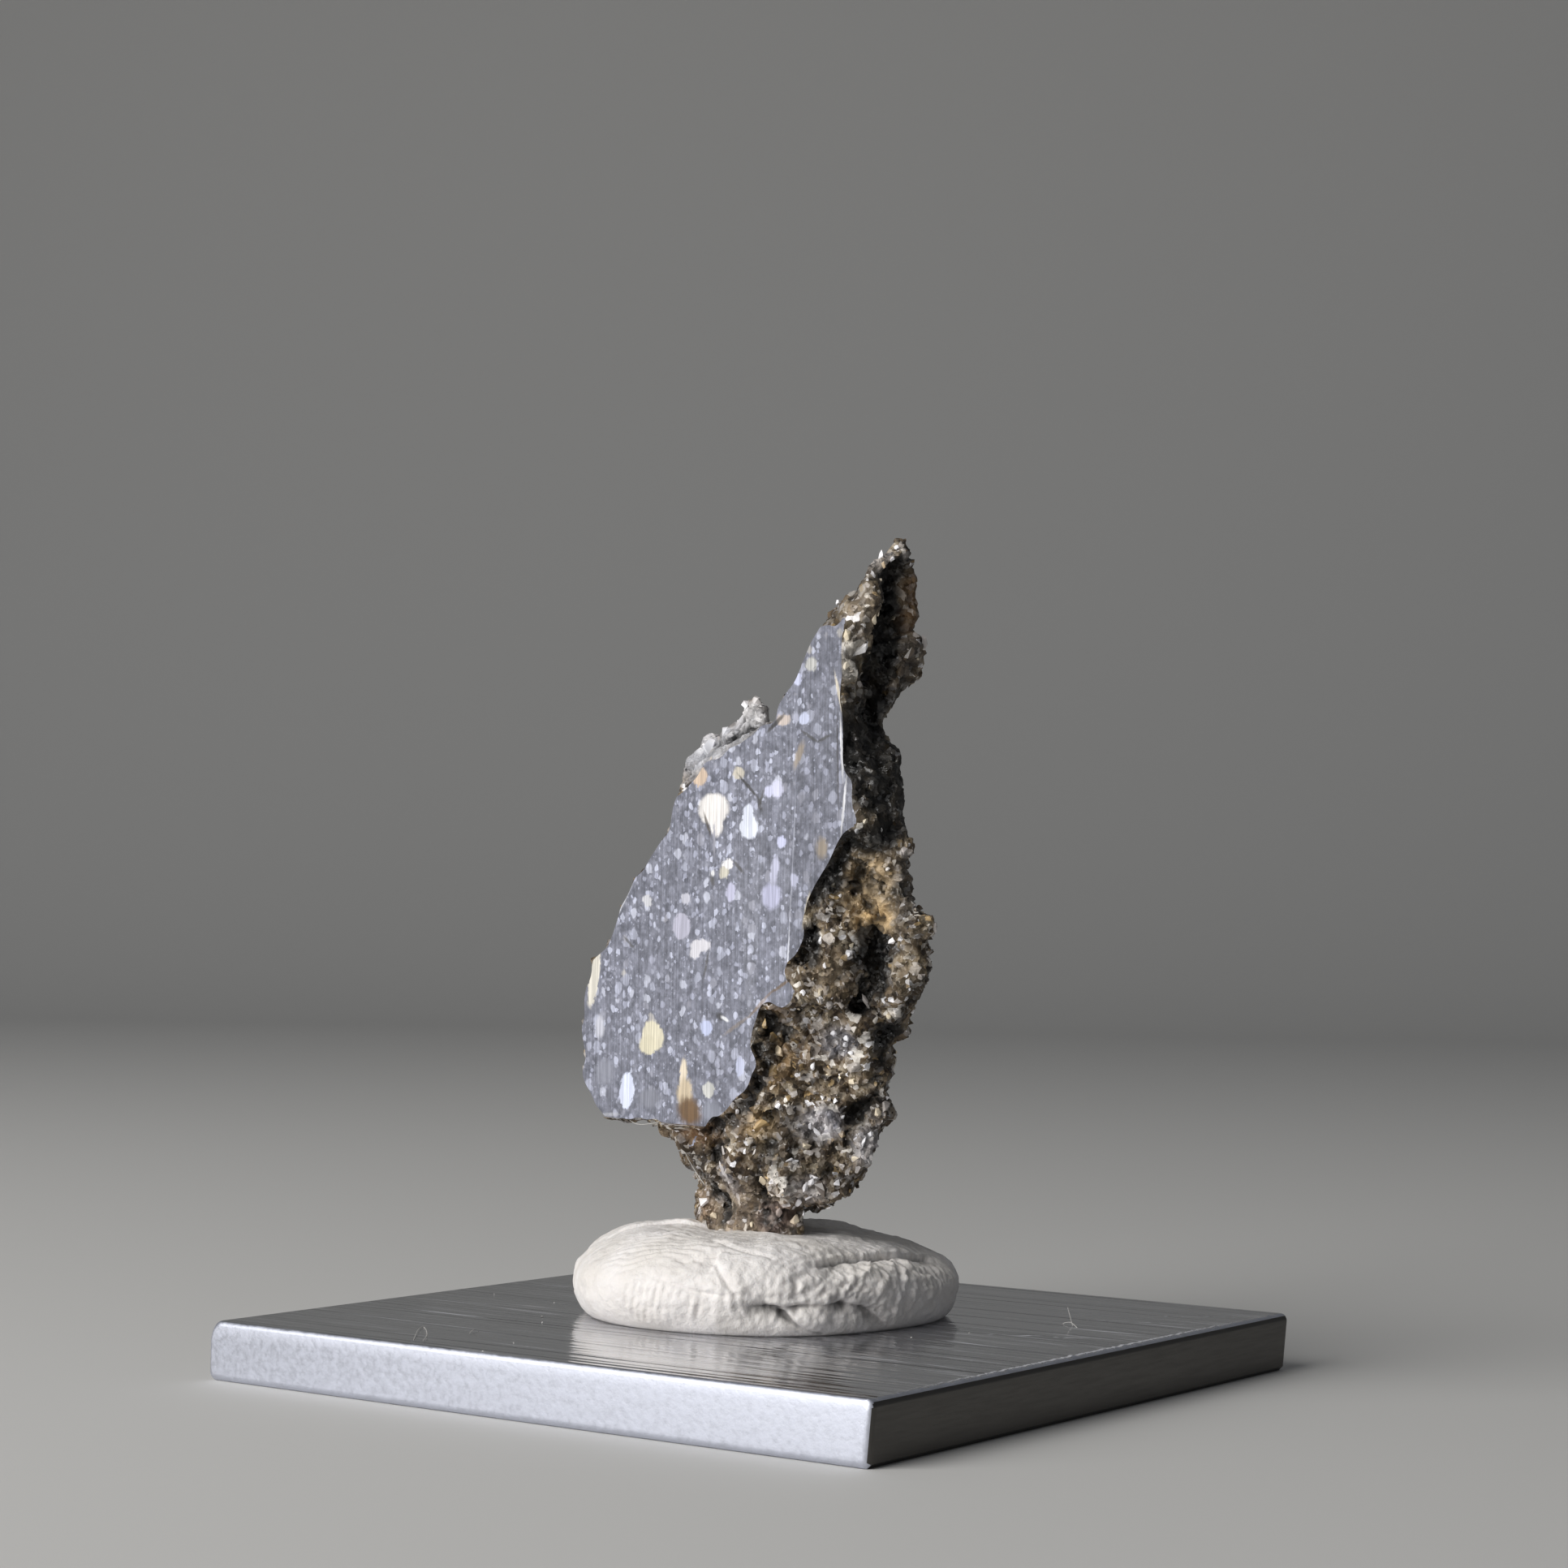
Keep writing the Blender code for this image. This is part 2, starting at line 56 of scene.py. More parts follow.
# Plate
PLATE_SIDE = 40.0
PLATE_THICKNESS = 3.0
PLATE_LEFT_ROUND = (0.7, 1.1)
PLATE_CORNER_ROUND = 0.35
PLATE_UNDERCUT_DEGREES = 4.0
PLATE_END_ROUND = 0.3
PLATE_BEVEL_SHARE = 0.6
# Faces that look right or up this squarely are the milled side and the brushed top
MILLED_FACING = 0.7
BRUSHED_FACING = 0.95
PLATE_EDGE_STEPS = 10
PLATE_END_STEPS = 6
PLATE_DEPTH_STEPS = 360
BURR_WIDTH = 0.45
BURR_HEIGHT = 0.06
BURR_BASE = 0.6
# How the burr's height swells along the edge: length of a swell, share, place in the noise
BURR_SWELLS = [(0.5, 1.0, 0), (0.13, 0.7, 5)]

# Long scratches on the plate's top: from, to, width
PLATE_SCRATCHES = [
    ((9.9, -1.5), (19.9, -2.2), 0.09), ((11.0, 1.1), (19.0, 4.7), 0.07), ((11.8, 9.5), (19.6, 12.7), 0.06),
    ((13.0, 4.2), (19.9, 4.3), 0.06), ((13.8, 12.7), (19.6, 17.1), 0.05), ((8.0, -9.0), (19.8, -9.6), 0.05),
    ((-19.0, -13.4), (-5.0, -13.9), 0.05), ((-19.6, -6.2), (-12.0, -6.0), 0.05),
    ((12.0, 2.2), (19.9, 2.0), 0.12), ((12.6, 6.4), (19.8, 6.9), 0.1), ((14.0, 8.0), (19.9, 7.8), 0.08),
    ((10.4, -4.2), (19.8, -4.4), 0.06), ((15.0, 10.6), (19.9, 10.7), 0.1),
    ((-18.8, 3.0), (-12.8, 3.2), 0.05),
    ((-17.0, -10.0), (-9.0, -10.1), 0.05), ((2.0, -13.6), (16.0, -13.3), 0.04),
    # The bright line along the burr
    ((19.55, -21.0), (19.55, 21.0), 0.15),
]

# Putty
PUTTY_CENTRE = (-0.95, 1.0)
PUTTY_FALL_DEGREES = 35.3
PUTTY_FOOT_RADIUS = 9.0
PUTTY_RADIUS = 10.05
PUTTY_SHOULDER = 3.6
PUTTY_WIDEST_HEIGHT = 4.9
PUTTY_TOP = 7.5
# Swells of the putty's top: centre, reach, rise
PUTTY_LIP = ((-5.2, 1.0), (2.2, 4.0), 0.2)
PUTTY_HUMP = ((3.5, 4.5), (2.6, 2.6), 0.35)
# How far the putty's top falls towards its thin end, its full end and its back, and how steeply
PUTTY_THIN_END_FALL = (1.1, 1.5)
PUTTY_FULL_END_FALL = (0.9, 3)
PUTTY_BACK_FALL = (1.0, 2)
PUTTY_WOBBLE = [(3, 0.018, 0.8), (5, 0.012, 2.1)]
PUTTY_SIDES = 600
PUTTY_FOOT_RINGS = 30
PUTTY_SHOULDER_RINGS = 48
# The top's rings stop short of the step that would be its hub
PUTTY_TOP_RINGS = 48
PUTTY_HUB_STEP = 52

# Stone
STONE_CENTRE = (-1.45, 0.65)
STONE_TURN_DEGREES = -14.7
SAW_DEPTH = -3.3
STONE_BOTTOM = 5.7
STONE_TOP = 43.2
RING_STEP = 0.15
RING_POINTS = 144
STONE_VOXEL = 0.15
STONE_PEAK = 42.85

# The edge that the second pass of the saw left: it runs from (across, height) to (across, height)
SAW_STEP_LINE = ((6.5, 20.2), (7.0, 29.7))
SAW_STEP_RISE = 0.05
SAW_FOOT = 12.8
SAW_STEP_RUN = 0.14
SAW_REACH = 25
SAW_TOP = 60.0
# Faces that look straight enough at the blade count as sawn
SAWN_FACING = -0.9
# How far behind the saw face the crust's fine relief sets in
SAW_RIM = 0.3

# Stone outlines as (height, across, depth): left edge, saw face's right edge, natural side's ridge
LEFT_EDGE = [
    (5.7, -3.6, 0.0), (7.2, -4.5, 0.0), (8.2, -4.6, 0.0), (8.8, -4.3, 0.0), (9.3, -3.7, -0.2),
    (10.0, -4.2, -0.5), (10.8, -4.5, -0.8), (11.7, -4.7, -1.2), (12.5, -5.1, -1.8), (12.8, -5.4, -2.6),
    (12.9, -8.2, -3.3), (13.5, -9.1, -3.3), (14.2, -9.7, -3.3), (15.2, -10.4, -3.3), (16.8, -10.5, -3.3),
    (17.5, -10.9, -3.3), (18.7, -10.6, -3.3), (20.0, -10.1, -3.3), (21.2, -9.9, -3.3), (21.9, -8.8, -3.3),
    (22.7, -7.9, -3.3), (24.1, -7.5, -3.3), (25.0, -6.8, -3.3), (25.7, -6.2, -3.3), (26.4, -5.0, -3.3),
    (27.3, -4.2, -3.3), (28.3, -3.2, -3.3), (29.5, -3.2, -2.8), (30.4, -3.5, -2.2), (31.4, -3.5, -1.8),
    (32.5, -3.1, -1.5), (32.9, -2.9, -1.4), (33.2, -1.8, -1.4), (33.4, -0.7, -1.4), (33.5, 5.0, -3.0),
    (34.3, 5.7, -3.3), (35.2, 6.2, -3.3), (36.7, 7.6, -3.3), (37.9, 8.6, -3.3), (38.4, 8.4, -2.7),
    (38.9, 8.6, -2.2), (39.1, 9.1, -2.0), (39.6, 9.9, -1.6), (40.4, 9.8, -1.1), (40.9, 9.9, -0.8),
    (41.2, 10.0, -0.4), (41.9, 9.8, 0.1), (42.6, 9.6, 0.5), (43.2, 9.7, 0.8),
]
RIGHT_EDGE = [
    (5.7, 2.0, -2.0), (7.2, 2.9, -1.6), (8.4, 3.0, -1.5), (9.2, 3.4, -1.7), (10.0, 4.3, -2.0),
    (11.2, 4.6, -2.3), (12.3, 2.8, -2.9), (12.9, 1.6, -3.3), (13.9, 2.5, -3.3), (14.8, 3.3, -3.3),
    (15.5, 3.6, -3.3), (16.2, 4.2, -3.3), (17.1, 3.9, -3.3), (18.3, 4.5, -3.3), (19.0, 4.8, -3.3),
    (19.4, 6.7, -3.3), (20.2, 7.0, -3.3), (20.9, 6.6, -3.3), (21.7, 7.4, -3.3), (22.7, 7.9, -3.3),
    (24.1, 7.7, -3.3), (25.4, 9.2, -3.3), (26.9, 10.3, -3.3), (27.5, 10.8, -3.3), (28.4, 11.2, -3.3),
    (29.7, 11.0, -3.3), (30.4, 11.3, -3.3), (32.3, 11.0, -3.3), (34.6, 10.7, -3.3), (35.3, 10.3, -3.3),
    (36.7, 10.1, -3.3), (37.3, 10.3, -3.3), (38.2, 10.5, -3.0), (39.2, 11.3, -2.2), (40.4, 11.3, -1.6),
    (41.5, 11.4, -0.9), (42.2, 11.1, -0.2), (42.7, 10.5, 0.4), (43.2, 10.1, 0.6),
]
RIGHT_RIDGE = [
    (5.7, 3.2, 0.2), (7.6, 4.1, 0.2), (8.9, 4.2, 0.3), (9.2, 5.3, 0.4), (9.7, 6.4, 0.5), (10.4, 7.8, 0.6),
    (11.2, 8.2, 0.8), (12.1, 8.5, 1.0), (12.9, 8.8, 1.2), (13.6, 9.0, 1.5), (14.5, 9.1, 1.5),
    (15.4, 8.8, 1.5), (16.8, 8.8, 1.5), (17.6, 9.3, 1.2), (18.1, 10.0, 1.0), (19.2, 11.1, 0.8),
    (20.3, 12.0, 0.6), (21.2, 12.5, 0.6), (22.6, 12.6, 0.4), (23.1, 13.0, 0.4), (23.5, 12.9, 0.3),
    (24.0, 12.3, 0.0), (25.4, 12.0, -0.4), (27.4, 12.5, -0.6), (28.3, 12.2, -0.6), (29.0, 11.9, -0.6),
    (30.6, 11.6, -0.4), (31.5, 11.2, -0.2), (32.1, 10.5, 0.0), (32.8, 9.8, 0.3), (33.6, 9.8, 0.5),
    (34.2, 10.0, 0.8), (35.2, 10.4, 1.0), (36.4, 10.9, 1.4), (37.2, 11.1, 1.6), (37.7, 11.0, 1.6),
    (38.1, 10.2, 1.5), (39.1, 10.4, 1.5), (40.3, 10.6, 1.4), (41.4, 11.1, 1.2), (42.0, 11.2, 1.0),
    (42.5, 10.8, 1.0), (43.2, 10.1, 1.0),
]
# How far forward the stone reached before it was sawn, with the share of its width that its corners take
FRONT = [
    (5.7, -2.0, 0.42), (7.2, -2.3, 0.42), (9.0, -2.3, 0.42), (10.5, -2.8, 0.4), (12.8, -3.3, 0.38),
    (13.1, -4.4, 0.25), (14.0, -5.2, 0.2), (36.5, -4.6, 0.2), (38.0, -3.6, 0.3), (39.2, -2.6, 0.42),
    (40.5, -1.9, 0.42), (42.0, -0.7, 0.42), (43.2, 0.5, 0.4),
]
# The back of the stone: (height, depth)
BACK = [
    (5.7, 2.2), (8.0, 2.7), (9.2, 3.0), (11.0, 4.1), (14.0, 4.9), (18.0, 5.0), (21.0, 4.4), (24.0, 3.6),
    (27.0, 2.9), (30.0, 2.5), (33.0, 2.4), (36.0, 2.4), (38.0, 2.0), (40.0, 1.6), (41.8, 1.4), (43.2, 1.0),
]
# The corner between the saw face and the ridge, as a share of the way, and how the ridge rounds to the back
SIDE_CORNER = 0.65
SHOULDER_SHARE = 0.6
SHOULDER_RUN = (0.4, 1.4)
# Corners of the stone's back: (share of its width from the left, share of the back's depth)
BACK_CORNERS = [(0.55, 1.0), (0.15, 0.8), (0.02, 0.35)]

# Lumps (positive) and hollows (negative) of the natural crust: (across, depth, height), radius, push
CRUST_MARKS = [
    # Two lobes with a deep cleft between them, half way up the natural side
    ((8.4, -2.1, 21.2), 1.5, 0.7),
    ((12.0, -0.5, 20.8), 1.2, 0.5),
    ((10.8, -1.1, 22.5), 0.7, -1.0),
    ((10.4, -1.0, 21.5), 0.65, -1.1),
    ((9.9, -0.9, 20.5), 0.65, -1.1),
    ((9.3, -0.9, 19.4), 0.65, -0.45),
    # The hollow above them, between a ledge over it and a ledge under it
    ((10.5, -2.0, 25.7), 1.2, -0.55),
    ((10.8, -1.4, 24.4), 1.0, -0.35),
    ((11.2, -2.3, 28.0), 0.9, 0.5),
    ((12.4, 0.0, 23.1), 0.7, 0.6),
    ((11.2, -1.2, 23.2), 0.6, 0.4),
    # The channel that runs down the spire, between its left ridge and the knob
    ((11.2, -0.6, 40.4), 0.7, -0.6),
    ((10.7, -0.7, 38.9), 0.8, -0.8),
    ((10.5, -0.8, 37.4), 0.8, -0.8),
    ((10.4, -0.9, 35.8), 0.8, -0.8),
    ((10.2, -0.6, 34.2), 0.8, -0.6),
    ((10.8, -2.9, 38.0), 0.8, 0.4),
    ((11.0, 0.8, 36.8), 0.5, 0.1),
    ((11.6, 0.9, 36.2), 0.7, -0.6),
    ((11.4, 1.3, 37.6), 0.45, 0.45),
    ((10.8, 1.2, 35.2), 0.8, -0.6),
    # Swells of the dark wall under the spire
    ((11.6, -2.2, 29.7), 0.8, 0.35),
    ((10.6, -1.2, 31.0), 0.8, -0.4),
    # The undercut and the lip low on the natural side
    ((9.4, 1.0, 17.6), 0.8, -0.6),
    ((8.9, 1.0, 14.0), 0.8, 0.2),
    ((5.2, -2.4, 17.4), 1.0, -0.5),
    ((7.2, -1.0, 15.8), 1.5, 0.4),
    # The foot
    ((1.2, -2.6, 11.0), 1.2, 0.35),
    ((-2.0, -2.0, 9.9), 0.7, -0.4),
    ((-1.4, -2.2, 8.8), 0.8, 0.35),
    # The spire's right edge and the saw face's right rim stand back a little
    ((11.3, -3.3, 31.6), 1.5, -0.6),
    ((0.9, -1.7, 33.6), 1.0, 0.5),
    ((2.9, -1.8, 34.4), 0.7, -0.3),
    ((12.4, 1.0, 19.6), 1.2, -0.6),
    ((10.8, 1.4, 18.2), 1.2, -0.6),
    ((12.6, 0.4, 25.6), 1.3, -0.45),
    ((9.4, 1.4, 14.6), 1.0, -0.35),
    ((0.6, -3.4, 12.2), 0.9, -0.5),
    # The top of the broken shoulder falls away to the back
    ((2.0, 1.8, 33.4), 1.7, -1.3),
    ((-1.6, 1.6, 33.2), 1.5, -1.1),
    ((4.8, 1.8, 33.6), 1.4, -1.0),
    ((6.6, 1.6, 34.6), 1.2, -0.6),
    # Broad pits and swells on the back
    ((-4.0, 3.9, 19.0), 2.6, -0.9),
    ((3.0, 4.6, 14.5), 2.4, -0.7),
    ((6.0, 3.6, 24.5), 2.2, -0.8),
    ((0.0, 3.4, 25.5), 1.8, 0.5),
    ((-8.4, 1.2, 16.5), 1.8, -0.6),
    ((8.4, 3.0, 34.0), 1.4, -0.5),
]
# Relief laid over the lumps and hollows: (grain size, push, place in the noise)
CRUST_RELIEF = [(3.2, 0.5, 11.0), (1.3, 0.38, 47.0)]
# The back's broader relief, and the depths over which it sets in
BACK_RELIEF = [(4.6, 1.2, 71.0), (2.0, 0.5, 83.0)]
BACK_FADE = (1.6, 3.2)
# Finer relief that the solid leaves out: sharp crested ridges, and small leaning crystal faces
CRUST_RIDGES = [(1.5, 0.3, 3.0), (0.6, 0.16, 29.0)]
CRUST_FACETS = [(0.8, 0.3), (0.42, 0.32)]
RIDGE_LEVEL = 0.35
RIDGE_FALL = 1.6
# Spreads the cells' centres, so that neighbours lean their own way
CELL_SPREAD = 7.3
# What the relief attribute keeps for the colours, where it paints shade in hollows and light on lumps: a
# share of the lumps up to a limit, and of broad relief
LUMP_LIMIT = 0.4
LUMP_SHARE = 0.6
BROAD_SHARE = 0.3
# Crevices (negative) and crests (positive) that run along lines: points, width, push
CRUST_LINES = [
    ([(11.0, -0.4, 41.2), (10.6, -0.6, 39.6), (10.3, -0.7, 38.0), (10.2, -0.7, 36.0),
      (10.0, -0.3, 34.0)], 0.6, -0.75),
    ([(10.8, -1.2, 41.6), (11.0, -1.9, 39.4), (10.7, -2.6, 37.2), (10.4, -2.8, 35.6)], 0.4, 0.4),
    ([(10.6, 1.1, 41.2), (10.5, 1.2, 38.6)], 0.4, 0.25),
    ([(10.8, 0.9, 37.9), (11.0, 0.8, 36.8), (10.7, 0.5, 35.9)], 0.35, 0.25),
    ([(10.7, -2.9, 27.6), (9.8, -3.0, 26.1), (8.8, -3.1, 25.2), (8.3, -3.1, 24.4)], 0.35, -0.7),
    ([(8.5, -3.1, 23.6), (8.1, -3.2, 22.5), (7.3, -3.2, 21.2)], 0.32, -0.6),
    ([(4.9, -3.1, 18.1), (4.3, -3.2, 17.0), (4.7, -3.0, 15.9), (4.1, -2.9, 14.9),
      (2.9, -3.1, 13.7)], 0.32, -0.6),
    ([(10.3, -0.7, 22.9), (9.8, -0.3, 21.2), (9.3, -0.4, 20.0), (8.9, -0.6, 19.1)], 0.5, -0.9),
    ([(9.2, 1.1, 15.5), (8.3, 0.7, 14.6), (7.4, 0.1, 13.3)], 0.35, -0.55),
    ([(9.6, 1.0, 18.2), (8.8, 1.4, 17.2), (8.5, 1.3, 16.0)], 0.4, -0.5),
    ([(-1.4, -2.5, 12.4), (0.6, -3.1, 12.6), (1.8, -3.1, 13.1)], 0.25, -0.35),
    ([(3.2, -1.6, 9.4), (3.0, -1.4, 8.6), (2.8, -1.3, 7.9)], 0.3, -0.5),
    ([(-0.2, -2.6, 9.6), (0.4, -2.3, 8.6), (0.4, -2.1, 7.9)], 0.3, -0.5),
    ([(-1.8, -2.6, 32.2), (-0.4, -2.2, 33.1), (0.8, -1.9, 33.7)], 0.25, -0.5),
    ([(0.2, -2.7, 32.7), (1.9, -2.3, 33.4), (3.4, -2.4, 33.7)], 0.25, -0.5),
    ([(1.3, -1.9, 35.3), (1.5, -2.1, 34.2)], 0.2, -0.4),
    ([(11.4, -1.0, 23.3), (12.2, -0.2, 23.1), (13.0, 0.1, 23.4)], 0.3, 0.35),
    ([(9.3, -2.6, 26.4), (10.4, -1.9, 26.9), (11.6, -1.2, 26.9)], 0.3, 0.3),
    ([(6.5, -2.4, 20.6), (7.6, -2.5, 19.0), (7.0, -1.9, 17.8)], 0.35, -0.4),
    ([(6.0, -1.9, 15.3), (7.6, -0.6, 15.0), (8.7, 0.6, 15.4)], 0.3, -0.35),
]
# Places with hardly any grains: centre, radii
BARE_PLACES = [((10.8, -1.4, 24.9), (1.2, 1.8, 2.2)), ((1.3, -2.5, 10.2), (0.7, 1.2, 1.3))]
RELIEF_FADE = 1.2
# The waist and the spire are worn smoother than the body, above this height
SMOOTH_FROM = (25.0, 28.5)
SMOOTH_SHARE = 0.75

CRAG_PEAK = (1.8, -1.6, 35.1)
CRAG_SIZE = (2.2, 1.3, 3.3)
CRAG_SIDES = 12
CRAG_TIP_SHARE = 0.06
CHIP_LINE = ((-3.2, 29.6), (-0.6, 31.3), (5.2, 33.7))
CHIP_SLOPE = 0.75
CHIP_REACH = 4.0
CHIP_THICKNESS = 3.0

# Broken crystals scattered on the crust: kinds, grains per square millimetre, smallest and largest size
CHIP_KINDS = 8
CHIP_SEED = 7
# How far out a chip's corners lie, as a share of its half size
CORNER_REACH = (0.75, 1.0)
GRAINS_PER_AREA = 1.5
GRAIN_SIZES = (0.13, 0.52)
GRAIN_SKEW = 3.0
GRAIN_SEED = 11
GRAIN_CORNERS = 9
GRAIN_WIDTHS = (0.6, 1.0)
GRAIN_THICKNESSES = (0.45, 0.8)
# Where grains set in: behind the saw face, above the putty, and from hollows to lumps
GRAIN_DEPTHS = (0.1, 0.35)
GRAIN_HEIGHTS = (7.0, 8.0)
GRAIN_RELIEF = (-0.5, 0.1)
# Fewer grains lie on the broken shoulder: heights, left of which place, share taken
SHOULDER_GRAINS = ((30.0, 31.0), 6, 0.7)
# Fewest lie on the waist: heights where it starts and ends, share taken
WAIST_GRAINS = ((26.4, 27.6), (34.0, 35.5), 0.93)

CRYSTAL_CORNERS = 14
CRYSTAL_SEED = 23
# Corners fall short of a crystal's size, so they are drawn from a slightly larger one
CRYSTAL_GROWTH = (1.1, 1.15, 1.1)
CRYSTAL_LIFT = 0.05
# The relief that the larger crystals carry, which the painted shade turns into painted light on them
CRYSTAL_RELIEF = 0.25
# What the larger crystals look like, as a place on the grains' colour ramp
SHADES = {"brown": 0.45, "grey": 0.79, "gold": 0.7, "cream": 0.88, "white": 0.97}
